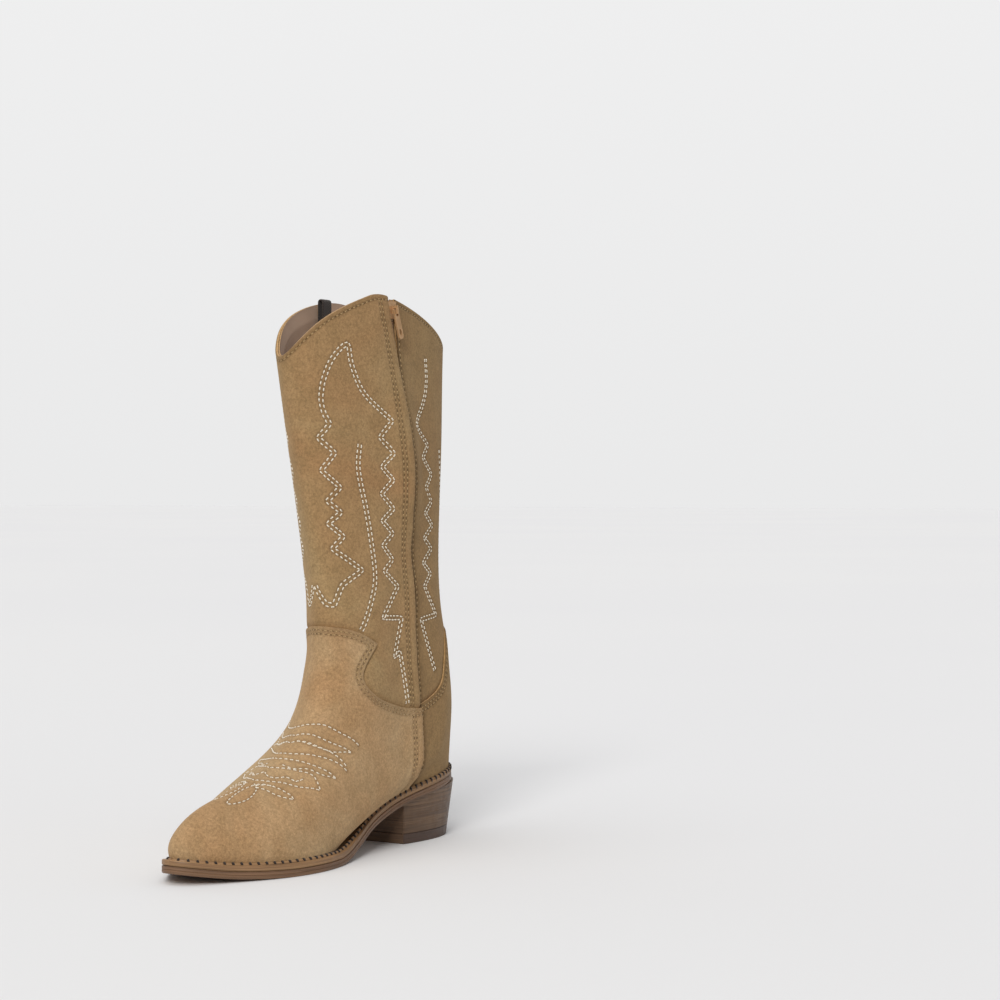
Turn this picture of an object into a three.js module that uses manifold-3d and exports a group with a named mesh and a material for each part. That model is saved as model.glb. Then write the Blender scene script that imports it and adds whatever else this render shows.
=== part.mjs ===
// A mid-calf cowboy boot for the right foot, with an inner side zip and a stacked heel.
// Millimetres, +Z up. The toe points along -Y, the zip is on the +X (inner) side, and the
// origin is the middle of the heel where it stands on the floor.
import * as THREE from "three";
import { mergeVertices } from "three/addons/utils/BufferGeometryUtils.js";
import Module from "manifold-3d";

const wasm = await Module();
wasm.setup();

// ---- driving dimensions -------------------------------------------------------------------

const GAP = 0.3; // air between two pieces that touch on the real boot

// Layers of the upper, as distances below the outer surface of the leather.
const LEATHER_THICK = 1.8;
const STIFFENER_THICK = 0.8;
const LINING_THICK = 1.0;
const STIFFENER_TOP = LEATHER_THICK + GAP;
const LINING_TOP = STIFFENER_TOP + STIFFENER_THICK + GAP;

// The zip lies on one straight line in space, so that its slider can run along it.
const ZIP_TOP = new THREE.Vector3(27, -42, 345);
const ZIP_BOTTOM = new THREE.Vector3(37, -28, 41);
const ZIP_SLOT_HALF = 6; // leather and lining stand back this far on each side
const TEETH_FROM = 0.6;
const TEETH_TO = 2.2;
const TEETH_THICK = 2.4;
const TAPE_TO = 14;
const SLIDER_LENGTH = 11;
const SLIDER_WIDTH = 8.4;
const SLIDER_PLATE = 1.1;
const SLIDER_REST = 341; // height of the slider's middle when the zip is closed
const TAB_LENGTH = 19;
const TAB_WIDTH = 5;
const TAB_THICK = 1.2;
const TAB_TILT = THREE.MathUtils.degToRad(14); // the loose tab hangs a little towards the heel

// Sole and heel.
const WELT_THICK = 3.2;
const OUTSOLE_THICK = 4.5;
const SOLE_THICK = GAP + WELT_THICK + GAP + OUTSOLE_THICK;
const WELT_WIDE_TOE = 4.6; // how far the welt stands out from the upper
const WELT_WIDE_HEEL = 1.8;
const WELT_INSIDE = 6;
const INSOLE_THICK = 2.2;
const SOCK_THICK = 2.4;
const TOP_LIFT_THICK = 6.6;
const LIFT_THICK = 5.6;
const LIFT_COUNT = 5;
const NAIL_RADIUS = 1;
const NAIL_BORE = 1.4;

// ---- the last: the outer shape of the upper -------------------------------------------------

// Height of the feather line, where the upper meets the welt, along the boot (y, z).
const FEATHER = [
  [-240, 17.5],
  [-225, 14.2],
  [-198, 10],
  [-165, 8.3],
  [-140, 8.3],
  [-115, 8.6],
  [-90, 14.5],
  [-63, 24.5],
  [-30, 34.5],
  [7, 41],
  [46, 45],
  [60, 46],
];

// Each level is one turn round the boot: the front point, the back point, the half widths at
// stations between them, and the heights there where the level isn't straight from side view.
const FOOT_STATIONS = [0.1, 0.32, 0.6, 0.86];
const SHAFT_STATIONS = [0.09, 0.28, 0.6, 0.84];
const LEVELS = [
  {
    front: [8, -225, 14],
    back: [45, 45],
    medial: [30, 46, 28, 28],
    lateral: [16, 43, 33, 29],
    heights: [10, 8, 25, 41],
  },
  {
    front: [8, -224, 26],
    back: [50, 66],
    medial: [31, 46, 0, 31],
    lateral: [16, 43, 34, 30],
    heights: [21, 24, 44, 62],
    zip: 48,
  },
  {
    front: [9, -204, 41],
    back: [49, 90],
    medial: [27, 43, 0, 32],
    lateral: [10, 35, 31, 28],
    heights: [38, 45, 68, 86],
    zip: 70,
  },
  {
    front: [10, -163, 52],
    back: [43, 113],
    medial: [26, 38, 0, 30],
    lateral: [6, 26, 27, 23],
    heights: [54, 66, 91, 109],
    zip: 92,
  },
  {
    front: [12, -123, 74],
    back: [36, 134],
    medial: [28, 36, 0, 28],
    lateral: [5, 21, 24, 20],
    heights: [78, 94, 115, 130],
    zip: 116,
  },
  {
    front: [14, -100, 116],
    back: [31, 162],
    medial: [28, 35, 0, 26],
    lateral: [4, 18, 23, 18],
    heights: [122, 136, 150, 160],
    zip: 150,
  },
  {
    front: [8, -98, 190],
    back: [33, 210],
    medial: [23, 32, 0, 23],
    lateral: [10, 26, 28, 22],
    heights: [192, 197, 203, 208],
    zip: 202,
  },
  {
    front: [-2, -102, 255],
    back: [39, 262],
    medial: [17, 28, 0, 20],
    lateral: [20, 32, 34, 25],
    heights: [256, 258, 260, 262],
    zip: 260,
  },
  {
    front: [-7, -110, 310],
    back: [44, 317],
    medial: [12, 24, 0, 17],
    lateral: [23, 34, 36, 25],
    heights: [331, 347, 346, 333],
    lateralHeights: [320, 339, 349, 333],
    zip: 349,
  },
];
const FOOT_LEVELS = 5; // the levels below this one use the foot's stations

const AROUND = 32; // facets round the boot
const UP = 16; // facets from the sole to the rim

const SUEDE = "#a07c50";
const SUEDE_LIGHT = "#a88a60";
const LINING = "#a08878";
const TEXTILE = "#8f7a68";
const METAL = "#b8936e";
const HEEL_LEATHER = "#6b5442";
const SOLE_LEATHER = "#7d6248";
const DARK = "#2c241e";
const CORK = "#a58a63";
const FIBRE_BOARD = "#b09a78";
const STEEL = "#8c8f92";

// ---- small mathematics ----------------------------------------------------------------------

// Second derivatives of a cubic spline through values at 0, 1, 2... by Gauss-Seidel sweeps.
function splineCurvature(values, closed) {
  const n = values.length;
  const m = new Array(n).fill(0);
  for (let sweep = 0; sweep < 60; sweep++) {
    for (let i = closed ? 0 : 1; i < (closed ? n : n - 1); i++) {
      const before = (i + n - 1) % n;
      const after = (i + 1) % n;
      const bend = 6 * (values[after] - 2 * values[i] + values[before]);
      m[i] = (bend - m[before] - m[after]) / 4;
    }
  }
  return m;
}

function splineAt(values, curvature, t, closed) {
  const n = values.length;
  const last = closed ? n - 1 : n - 2;
  const i = Math.min(Math.max(Math.floor(t), 0), last);
  const next = (i + 1) % n;
  const b = t - i;
  const a = 1 - b;
  const bend = (a ** 3 - a) * curvature[i] + (b ** 3 - b) * curvature[next];
  return a * values[i] + b * values[next] + bend / 6;
}

function spline(values, closed = false) {
  const curvature = splineCurvature(values, closed);
  return (t) => splineAt(values, curvature, t, closed);
}

// A smooth height for any y through (y, z) pairs.
function heightCurve(pairs) {
  const points = pairs.map(([y, z]) => new THREE.Vector2(y, z));
  const samples = new THREE.SplineCurve(points).getPoints(120);
  return (y) => {
    let i = samples.findIndex((p) => p.x > y);
    i = i < 1 ? (i < 0 ? samples.length - 1 : 1) : i;
    const a = samples[i - 1];
    const b = samples[i];
    return a.y + ((b.y - a.y) * (y - a.x)) / (b.x - a.x);
  };
}

const zipDown = ZIP_BOTTOM.clone().sub(ZIP_TOP).normalize();

function zipPoint(z) {
  const t = (z - ZIP_TOP.z) / (ZIP_BOTTOM.z - ZIP_TOP.z);
  return ZIP_TOP.clone().lerp(ZIP_BOTTOM, t);
}

const featherHeight = heightCurve(FEATHER);

// ---- the outer surface ------------------------------------------------------------------------

// Ten points round one level: front, four inner stations, back, four outer stations.
function levelRing(level, index) {
  const stations = index < FOOT_LEVELS ? FOOT_STATIONS : SHAFT_STATIONS;
  const [frontX, frontY, frontZ] = level.front;
  const [backY, backZ] = level.back;
  const along = (t) => frontY + (backY - frontY) * t;
  const ring = [new THREE.Vector3(frontX, frontY, frontZ)];
  stations.forEach((t, i) => {
    const onZip = i === 2 && level.zip;
    const point = new THREE.Vector3(level.medial[i], along(t), level.heights[i]);
    ring.push(onZip ? zipPoint(level.zip) : point);
  });
  ring.push(new THREE.Vector3(0, backY, backZ));
  const lateralHeights = level.lateralHeights ?? level.heights;
  for (let i = 3; i >= 0; i--) {
    ring.push(new THREE.Vector3(-level.lateral[i], along(stations[i]), lateralHeights[i]));
  }
  return ring;
}

// One upright column of the surface at a place u round the boot, as a function of height v.
function columnAt(rings, u) {
  const axes = ["x", "y", "z"].map((axis) =>
    spline(rings.map((ring) => spline(ring.map((p) => p[axis]), true)(u))),
  );
  return (v) => new THREE.Vector3(axes[0](v), axes[1](v), axes[2](v));
}

const BELOW = -0.3; // the surface runs on a little below the feather line and is cut there

function surfaceGrid() {
  const rings = LEVELS.map(levelRing);
  const top = LEVELS.length - 1;
  const grid = [];
  for (let i = 0; i < AROUND; i++) {
    const column = columnAt(rings, (10 * i) / AROUND);
    const points = [];
    for (let j = 0; j <= UP; j++) points.push(column(BELOW + ((top - BELOW) * j) / UP));
    grid.push(points);
  }
  return grid;
}

const grid = surfaceGrid();

function surfaceNormal(i, j) {
  const after = grid[(i + 1) % AROUND][j];
  const before = grid[(i + AROUND - 1) % AROUND][j];
  const above = grid[i][Math.min(j + 1, UP)];
  const below = grid[i][Math.max(j - 1, 0)];
  const across = after.clone().sub(before);
  return across.cross(above.clone().sub(below)).normalize();
}

function offsetPoint(i, j, depth) {
  return grid[i][j].clone().addScaledVector(surfaceNormal(i, j), -depth);
}

// ---- solids ---------------------------------------------------------------------------------

function solidOf(geometry) {
  const plain = geometry.clone();
  plain.deleteAttribute("normal");
  plain.deleteAttribute("uv");
  const merged = mergeVertices(plain, 1e-4);
  return new wasm.Manifold(
    new wasm.Mesh({
      numProp: 3,
      vertProperties: merged.attributes.position.array,
      triVerts: new Uint32Array(merged.index.array),
    }),
  );
}

function geometryOf(solid) {
  const mesh = solid.getMesh();
  const geometry = new THREE.BufferGeometry();
  geometry.setAttribute("position", new THREE.BufferAttribute(mesh.vertProperties, 3));
  geometry.setIndex(new THREE.BufferAttribute(mesh.triVerts, 1));
  geometry.computeVertexNormals();
  return geometry;
}

function geometryFrom(points, faces) {
  const geometry = new THREE.BufferGeometry();
  const flat = points.flatMap((p) => [p.x, p.y, p.z]);
  geometry.setAttribute("position", new THREE.Float32BufferAttribute(flat, 3));
  geometry.setIndex(faces);
  return geometry;
}

// One layer of the upper all round, between two depths below the outer surface.
function layer(topDepth, bottomDepth) {
  const rows = UP + 1;
  const points = [];
  for (const depth of [topDepth, bottomDepth]) {
    for (let i = 0; i < AROUND; i++) {
      for (let j = 0; j < rows; j++) points.push(offsetPoint(i, j, depth));
    }
  }
  const outer = (i, j) => (i % AROUND) * rows + j;
  const inner = (i, j) => AROUND * rows + outer(i, j);
  const faces = [];
  const quad = (a, b, c, d) => faces.push(a, b, c, a, c, d);
  for (let i = 0; i < AROUND; i++) {
    for (let j = 0; j < UP; j++) {
      quad(outer(i, j), outer(i + 1, j), outer(i + 1, j + 1), outer(i, j + 1));
      quad(inner(i, j), inner(i, j + 1), inner(i + 1, j + 1), inner(i + 1, j));
    }
    quad(outer(i, UP), outer(i + 1, UP), inner(i + 1, UP), inner(i, UP));
    quad(inner(i, 0), inner(i + 1, 0), outer(i + 1, 0), outer(i, 0));
  }
  return solidOf(geometryFrom(points, faces));
}

// Everything inside one depth below the outer surface, closed across the top and bottom.
function cavity(depth) {
  const rows = UP + 1;
  const points = [];
  const middles = [new THREE.Vector3(), new THREE.Vector3()];
  for (let i = 0; i < AROUND; i++) {
    for (let j = 0; j < rows; j++) points.push(offsetPoint(i, j, depth));
    middles[0].addScaledVector(points[i * rows], 1 / AROUND);
    middles[1].addScaledVector(points[i * rows + UP], 1 / AROUND);
  }
  const bottom = points.push(middles[0]) - 1;
  const top = points.push(middles[1]) - 1;
  const at = (i, j) => (i % AROUND) * rows + j;
  const faces = [];
  for (let i = 0; i < AROUND; i++) {
    for (let j = 0; j < UP; j++) {
      faces.push(at(i, j), at(i + 1, j), at(i + 1, j + 1), at(i, j), at(i + 1, j + 1), at(i, j + 1));
    }
    faces.push(bottom, at(i + 1, 0), at(i, 0), top, at(i, UP), at(i + 1, UP));
  }
  return solidOf(geometryFrom(points, faces));
}

function shapeOf(points) {
  return new THREE.Shape(points.map(([a, b]) => new THREE.Vector2(a, b)));
}

// A side-view outline of (y, z) points, extruded across the boot.
function sidePrism(points, fromX = -90, toX = 90) {
  const options = { depth: toX - fromX, bevelEnabled: false };
  const geometry = new THREE.ExtrudeGeometry(shapeOf(points), options);
  const y = new THREE.Vector3(0, 1, 0);
  const z = new THREE.Vector3(0, 0, 1);
  const x = new THREE.Vector3(1, 0, 0);
  geometry.applyMatrix4(new THREE.Matrix4().makeBasis(y, z, x));
  geometry.translate(fromX, 0, 0);
  return solidOf(geometry);
}

// A plan outline of (x, y) points, extruded upwards.
function planPrism(points, fromZ = -20, toZ = 80) {
  const options = { depth: toZ - fromZ, bevelEnabled: false };
  const geometry = new THREE.ExtrudeGeometry(shapeOf(points), options);
  geometry.translate(0, 0, fromZ);
  return solidOf(geometry);
}

function smooth(points, steps = 20) {
  const curve = new THREE.SplineCurve(points.map(([a, b]) => new THREE.Vector2(a, b)));
  return curve.getPoints(steps).map((p) => [p.x, p.y]);
}

// Moves an open line sideways; a positive distance moves it to the left of its direction.
function shiftLine(points, distance) {
  return points.map(([a, b], i) => {
    const before = points[Math.max(i - 1, 0)];
    const after = points[Math.min(i + 1, points.length - 1)];
    const inward = new THREE.Vector2(a - before[0], b - before[1]).normalize();
    const outward = new THREE.Vector2(after[0] - a, after[1] - b).normalize();
    if (inward.length() === 0) inward.copy(outward);
    if (outward.length() === 0) outward.copy(inward);
    const mean = inward.clone().add(outward).normalize();
    const spread = Math.max(mean.dot(outward), 0.5);
    return [a - (mean.y * distance) / spread, b + (mean.x * distance) / spread];
  });
}

// ---- seams in side view ------------------------------------------------------------------------

const CROSSING = 88; // height where the vamp and the counter meet at the zip

function zipLine(fromZ, toZ, shift) {
  return [fromZ, toZ].map((z) => [zipPoint(z).y + shift, z]);
}

const EAR = [-67, 131];
const vampEdge = [
  ...smooth([[zipPoint(CROSSING).y, CROSSING], [-49, 91], [-71, 99], [-80, 112], EAR], 14),
  ...smooth([EAR, [-82, 139], [-100, 143], [-130, 146]], 6).slice(1),
];
const counterEdge = smooth(
  [[zipPoint(CROSSING).y, CROSSING], [-8, 95], [5, 104], [13, 120], [24, 136], [70, 146]],
  14,
);

function belowVampEdge(grow) {
  const edge = shiftLine(vampEdge, -grow);
  const [, low] = edge[0];
  const [, high] = edge[edge.length - 1];
  return sidePrism([[-300, -40], [40, -40], [40, low], ...edge, [-300, high]]);
}

function belowCounterEdge(grow) {
  const edge = shiftLine(counterEdge, grow).reverse();
  const [, high] = edge[0];
  const [, low] = edge[edge.length - 1];
  return sidePrism([[120, high], ...edge, [-80, low], [-80, -40], [120, -40]]);
}

const frontHalf = sidePrism([[-300, -40], ...zipLine(-40, 420, -GAP / 2), [-300, 420]]);
const backHalf = sidePrism([[120, 420], ...zipLine(420, -40, GAP / 2), [120, -40]]);

function zipBand(from, to, lowZ, highZ) {
  return sidePrism([...zipLine(lowZ, highZ, from), ...zipLine(highZ, lowZ, to)].reverse(), 0, 90);
}

const zipSlot = zipBand(-ZIP_SLOT_HALF, ZIP_SLOT_HALF, ZIP_BOTTOM.z - 3, 420);

// Everything below the feather line, and the same line moved down for the sole's layers.
function underProfile(drop) {
  const line = [];
  for (let y = 60; y >= -240; y -= 10) {
    line.push([y, Math.max(featherHeight(y), SOLE_THICK) - drop]);
  }
  return [[-240, -60], [60, -60], ...line];
}

function profileBand(topDrop, bottomDrop) {
  return sidePrism(underProfile(topDrop)).subtract(sidePrism(underProfile(bottomDrop)));
}

const belowFeather = sidePrism(underProfile(0));

// ---- the upper --------------------------------------------------------------------------------

const leather = layer(0, LEATHER_THICK).subtract(belowFeather).subtract(zipSlot);
const interlining = layer(STIFFENER_TOP, STIFFENER_TOP + STIFFENER_THICK).subtract(belowFeather);
const lining = layer(LINING_TOP, LINING_TOP + LINING_THICK).subtract(belowFeather).subtract(zipSlot);

function vamp() {
  return leather.intersect(frontHalf).intersect(belowVampEdge(-GAP / 2));
}

function counter() {
  return leather.intersect(backHalf).intersect(belowCounterEdge(-GAP / 2));
}

function shaftFront() {
  return leather.intersect(frontHalf).subtract(belowVampEdge(GAP / 2));
}

function shaftBack() {
  return leather.intersect(backHalf).subtract(belowCounterEdge(GAP / 2));
}

// The shaft and foot linings meet on one sloping seam below the ankle.
const LINING_SEAM = [[-300, 118], [-110, 118], [-30, 112], [120, 120]];

function liningBelowSeam(drop) {
  const seam = LINING_SEAM.map(([y, z]) => [y, z - drop]).reverse();
  return sidePrism([[-300, -40], [120, -40], ...seam]);
}

function vampLining() {
  return lining.intersect(frontHalf).intersect(liningBelowSeam(GAP / 2));
}

function heelLining() {
  return lining.intersect(backHalf).intersect(liningBelowSeam(GAP / 2));
}

function shaftLiningFront() {
  return lining.intersect(frontHalf).subtract(liningBelowSeam(-GAP / 2));
}

function shaftLiningBack() {
  return lining.intersect(backHalf).subtract(liningBelowSeam(-GAP / 2));
}

function toePuff() {
  return interlining.intersect(sidePrism([[-260, -20], [-176, -20], [-168, 80], [-260, 80]]));
}

function heelStiffener() {
  const frontEdge = smooth([[40, 94], [12, 84], [-6, 60], [-14, 20]], 8);
  const outline = [[70, -20], [70, 94], ...frontEdge, [-14, -20]];
  return interlining.intersect(sidePrism(outline.reverse()));
}

// ---- the zip ------------------------------------------------------------------------------------

const TAPE_TOP = 348;
const TAPE_LOW = ZIP_BOTTOM.z + 2;

// The half of a width that lies on one side of the zip line: -1 is the toe side, 1 the heel side.
function onSide(side, from, to) {
  return side < 0 ? [-to, -from] : [from, to];
}

function zipTape(side) {
  const [from, to] = onSide(side, TEETH_TO + GAP, TAPE_TO);
  return interlining.intersect(zipBand(from, to, TAPE_LOW, TAPE_TOP));
}

// Axes of the zip: down the line, across it, and out of the leather.
const zipAcross = new THREE.Vector3(-0.02, 1, 0);
zipAcross.addScaledVector(zipDown, -zipAcross.dot(zipDown)).normalize();
const zipOut = zipAcross.clone().cross(zipDown).negate().normalize();

function zipFrame(z) {
  const at = zipPoint(z);
  const up = zipDown.clone().negate();
  const frame = new THREE.Matrix4().makeBasis(zipOut, zipAcross, up);
  return frame.setPosition(at);
}

// A box in the zip's own axes: out of the leather, across, and up the line.
function zipBox(z, out, across, up) {
  const size = [out, across, up].map(([from, to]) => to - from);
  const middle = [out, across, up].map(([from, to]) => (from + to) / 2);
  const geometry = new THREE.BoxGeometry(...size);
  geometry.translate(...middle);
  geometry.applyMatrix4(zipFrame(z));
  return solidOf(geometry);
}

const TEETH_MIDDLE = -(STIFFENER_TOP + STIFFENER_THICK / 2);
const TEETH_OUT = [TEETH_MIDDLE - TEETH_THICK / 2, TEETH_MIDDLE + TEETH_THICK / 2];
const STOP_LENGTH = 3;
const TEETH_TOP = TAPE_TOP - STOP_LENGTH - 1;
const TEETH_LOW = ZIP_BOTTOM.z + 6;

function zipTeeth(side) {
  const length = TEETH_TOP - TEETH_LOW;
  return zipBox(TEETH_LOW, TEETH_OUT, onSide(side, TEETH_FROM, TEETH_TO), [0, length]);
}

function zipTopStop(side) {
  const width = onSide(side, TEETH_FROM, TEETH_TO);
  return zipBox(TEETH_TOP + GAP, TEETH_OUT, width, [0, STOP_LENGTH]);
}

function zipBottomStop() {
  const proud = 0.4;
  const out = [TEETH_OUT[0], TEETH_OUT[1] + proud];
  return zipBox(TEETH_LOW - GAP - STOP_LENGTH, out, [-TEETH_TO, TEETH_TO], [0, STOP_LENGTH]);
}

const PLATE_OUT = TEETH_OUT[1] + 0.7; // underside of the slider's outer plate
const PIN_OUT = PLATE_OUT + SLIDER_PLATE + 2.2; // middle of the tab's bar
const PIN_RADIUS = 0.6;
const PIN_HOLE = 1.05;
const LUG_HALF = 0.7;
const LUG_LENGTH = 5.2;
const LUG_OVER_PIN = 1.9;

// A short bar across the zip, used for the pin's hole in the lug and for the tab's own bar.
function crossBar(radius, halfLength, sides) {
  const geometry = new THREE.CylinderGeometry(radius, radius, 2 * halfLength, sides);
  geometry.translate(PIN_OUT, 0, 0);
  return geometry;
}

function zipSlider() {
  const half = SLIDER_LENGTH / 2;
  const wide = SLIDER_WIDTH / 2;
  const under = TEETH_OUT[0] - 0.5;
  const joined = 0.5; // the post and the lug run this far into the plates
  const outer = [PLATE_OUT, PLATE_OUT + SLIDER_PLATE];
  const inner = [under - SLIDER_PLATE, under];
  const post = [under - joined, PLATE_OUT + joined];
  const lug = [PLATE_OUT + joined, PIN_OUT + LUG_OVER_PIN];
  const lugAlong = [-LUG_LENGTH / 2, LUG_LENGTH / 2];
  const body = zipBox(SLIDER_REST, outer, [-wide, wide], [-half, half])
    .add(zipBox(SLIDER_REST, inner, [-wide, wide], [-half, half]))
    .add(zipBox(SLIDER_REST, post, [-0.3, 0.3], [0, half - 1]))
    .add(zipBox(SLIDER_REST, lug, [-LUG_HALF, LUG_HALF], lugAlong));
  const hole = crossBar(PIN_HOLE, 2 * LUG_HALF, 12);
  hole.applyMatrix4(zipFrame(SLIDER_REST));
  return body.subtract(solidOf(hole));
}

// The pull tab: a bar through the lug, two arms, and a flat tongue with an oblong hole.
function zipPullTab() {
  const half = TAB_WIDTH / 2;
  const corner = 1.5;
  const shape = shapeOf([
    [-half, PIN_RADIUS],
    [-half, -TAB_LENGTH + corner],
    [-half + 1, -TAB_LENGTH],
    [half - 1, -TAB_LENGTH],
    [half, -TAB_LENGTH + corner],
    [half, PIN_RADIUS],
  ]);
  const eye = new THREE.Path();
  eye.absellipse(0, -1.9, 1.55, 2.4, 0, 2 * Math.PI, true);
  const slot = new THREE.Path();
  slot.absellipse(0, -TAB_LENGTH + 4.2, 1.2, 2.3, 0, 2 * Math.PI, true);
  shape.holes.push(eye, slot);
  const options = { depth: TAB_THICK, bevelEnabled: false, curveSegments: 6 };
  const plate = new THREE.ExtrudeGeometry(shape, options);
  plate.translate(0, 0, -TAB_THICK / 2);
  const out = new THREE.Vector3(1, 0, 0);
  const side = new THREE.Vector3(0, 1, 0);
  const up = new THREE.Vector3(0, 0, 1);
  plate.applyMatrix4(new THREE.Matrix4().makeBasis(side, up, out));
  plate.translate(PIN_OUT, 0, 0);
  const bar = crossBar(PIN_RADIUS, half, 10);
  const tab = solidOf(plate).add(solidOf(bar));
  const geometry = geometryOf(tab);
  geometry.rotateX(TAB_TILT);
  geometry.applyMatrix4(zipFrame(SLIDER_REST));
  return solidOf(geometry);
}

// The soft flap inside the zip that keeps it off the leg.
const GUARD_DEPTH = 7; // clear of the slider's inner plate all the way down
const GUARD_ACROSS = [-16, 12];
const GUARD_HEIGHTS = [ZIP_BOTTOM.z + 10, 330];

function zipGuard() {
  const body = layer(GUARD_DEPTH, GUARD_DEPTH + LINING_THICK).subtract(belowFeather);
  return body.intersect(zipBand(...GUARD_ACROSS, ...GUARD_HEIGHTS));
}

// The webbing loop inside the outer rim: two legs and a rounded top over the edge.
const STRAP_WIDTH = 9;
const STRAP_THICK = 1.1;
const STRAP_LEG = 34;
const STRAP_FROM = new THREE.Vector3(-29.2, -42, 314); // foot of the outer leg

function pullStrap() {
  const middle = 2 * STRAP_THICK;
  const profile = new THREE.Shape();
  profile.moveTo(0, 0);
  profile.lineTo(STRAP_THICK, 0);
  profile.lineTo(STRAP_THICK, STRAP_LEG);
  profile.absarc(middle, STRAP_LEG, STRAP_THICK, Math.PI, 0, true);
  profile.lineTo(middle + STRAP_THICK, 0);
  profile.lineTo(2 * middle, 0);
  profile.lineTo(2 * middle, STRAP_LEG);
  profile.absarc(middle, STRAP_LEG, middle, 0, Math.PI, false);
  const geometry = new THREE.ExtrudeGeometry(profile, {
    depth: STRAP_WIDTH,
    bevelEnabled: false,
    curveSegments: 6,
  });
  geometry.rotateX(Math.PI / 2);
  geometry.translate(STRAP_FROM.x, STRAP_FROM.y + STRAP_WIDTH / 2, STRAP_FROM.z);
  return solidOf(geometry);
}

// ---- insole, sole and heel ---------------------------------------------------------------------

// The plan outline where the upper meets the welt, moved out or in by a distance.
const FEATHER_POINTS = 44;

function featherOutline(moveOut) {
  const rings = LEVELS.map(levelRing);
  const points = [];
  for (let i = 0; i < FEATHER_POINTS; i++) {
    const p = columnAt(rings, (10 * i) / FEATHER_POINTS)(0);
    points.push(new THREE.Vector2(p.x, p.y));
  }
  return points.map((p, i) => {
    const after = points[(i + 1) % FEATHER_POINTS];
    const before = points[(i + FEATHER_POINTS - 1) % FEATHER_POINTS];
    const along = after.clone().sub(before).normalize();
    const distance = moveOut(p.y);
    return [p.x + along.y * distance, p.y - along.x * distance];
  });
}

// The welt is widest at the toe and narrows behind the ball to the heel.
function weltWidth(y) {
  const t = THREE.MathUtils.smoothstep(y, -130, -20);
  return THREE.MathUtils.lerp(WELT_WIDE_TOE, WELT_WIDE_HEEL, t);
}

const soleOutline = featherOutline(weltWidth);
const weltInside = featherOutline(() => -WELT_INSIDE);
const HEEL_BREAST = -31;

function weltBand() {
  const ring = planPrism(soleOutline).subtract(planPrism(weltInside));
  return ring.intersect(profileBand(GAP, GAP + WELT_THICK));
}

// Everything between two places along the boot.
function slab(fromY, toY) {
  return sidePrism([[fromY, -40], [toY, -40], [toY, 90], [fromY, 90]]);
}

const behindBreast = slab(HEEL_BREAST + GAP / 2, 120);
const aheadOfBreast = slab(-300, HEEL_BREAST - GAP / 2);

function nailAxes() {
  return [[-13, -12], [13, -12], [-13, 20], [13, 20]];
}

function nailShape(x, y, radius, fromZ, toZ, sides) {
  const geometry = new THREE.CylinderGeometry(radius, radius, toZ - fromZ, sides);
  geometry.rotateX(Math.PI / 2);
  geometry.translate(x, y, (fromZ + toZ) / 2);
  return solidOf(geometry);
}

const NAIL_SIDES = 8;
const NAIL_FROM_Z = 9;

function bored(solid) {
  const bore = ([x, y]) => nailShape(x, y, NAIL_BORE, NAIL_FROM_Z - 1, 60, NAIL_SIDES);
  return nailAxes().reduce((left, axis) => left.subtract(bore(axis)), solid);
}

function outsole() {
  const band = profileBand(SOLE_THICK - OUTSOLE_THICK, SOLE_THICK);
  return bored(planPrism(soleOutline).intersect(band));
}

const SHANK_HALF = 6.5;
const SHANK_FROM = -118;
const SHANK_TO = 8;
const SHANK_DROP = GAP + 1;
const SHANK_THICK = 1.2;

function shankOutline(grow) {
  return [
    [-SHANK_HALF - grow, SHANK_FROM - grow],
    [SHANK_HALF + grow, SHANK_FROM - grow],
    [SHANK_HALF + grow, SHANK_TO + grow],
    [-SHANK_HALF - grow, SHANK_TO + grow],
  ];
}

function shank() {
  return planPrism(shankOutline(0)).intersect(profileBand(SHANK_DROP, SHANK_DROP + SHANK_THICK));
}

function filler() {
  const plan = planPrism(featherOutline(() => -WELT_INSIDE - GAP));
  const body = plan.intersect(profileBand(GAP, GAP + WELT_THICK));
  const underShank = sidePrism(underProfile(SHANK_DROP + SHANK_THICK + GAP));
  const pocket = planPrism(shankOutline(GAP)).subtract(underShank);
  return bored(body.subtract(pocket));
}

const INSIDE_LINING = LINING_TOP + LINING_THICK + GAP;

function insoleBoard() {
  return bored(cavity(INSIDE_LINING).intersect(profileBand(-INSOLE_THICK, 0)));
}

function sockLiner() {
  const low = INSOLE_THICK + GAP;
  return cavity(INSIDE_LINING + GAP).intersect(profileBand(-low - SOCK_THICK, -low));
}

// The heel's plan outline is a squared oval; the breast is cut off flat afterwards.
const HEEL_TOP_Z = 42;
const HEEL_BOTTOM = { wide: 26.5, back: 40, middle: -6 };
const HEEL_TOP = { wide: 31, back: 48.5, middle: -5 };
const OVAL_POWER = 2 / 2.5;
const HEEL_POINTS = 28;

function ovalRing(size, z) {
  const points = [];
  for (let i = 0; i < HEEL_POINTS; i++) {
    const a = (2 * Math.PI * i) / HEEL_POINTS;
    const x = Math.sign(Math.cos(a)) * Math.abs(Math.cos(a)) ** OVAL_POWER;
    const y = Math.sign(Math.sin(a)) * Math.abs(Math.sin(a)) ** OVAL_POWER;
    points.push(new THREE.Vector3(size.wide * x, size.middle + (size.back - size.middle) * y, z));
  }
  return points;
}

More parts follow.
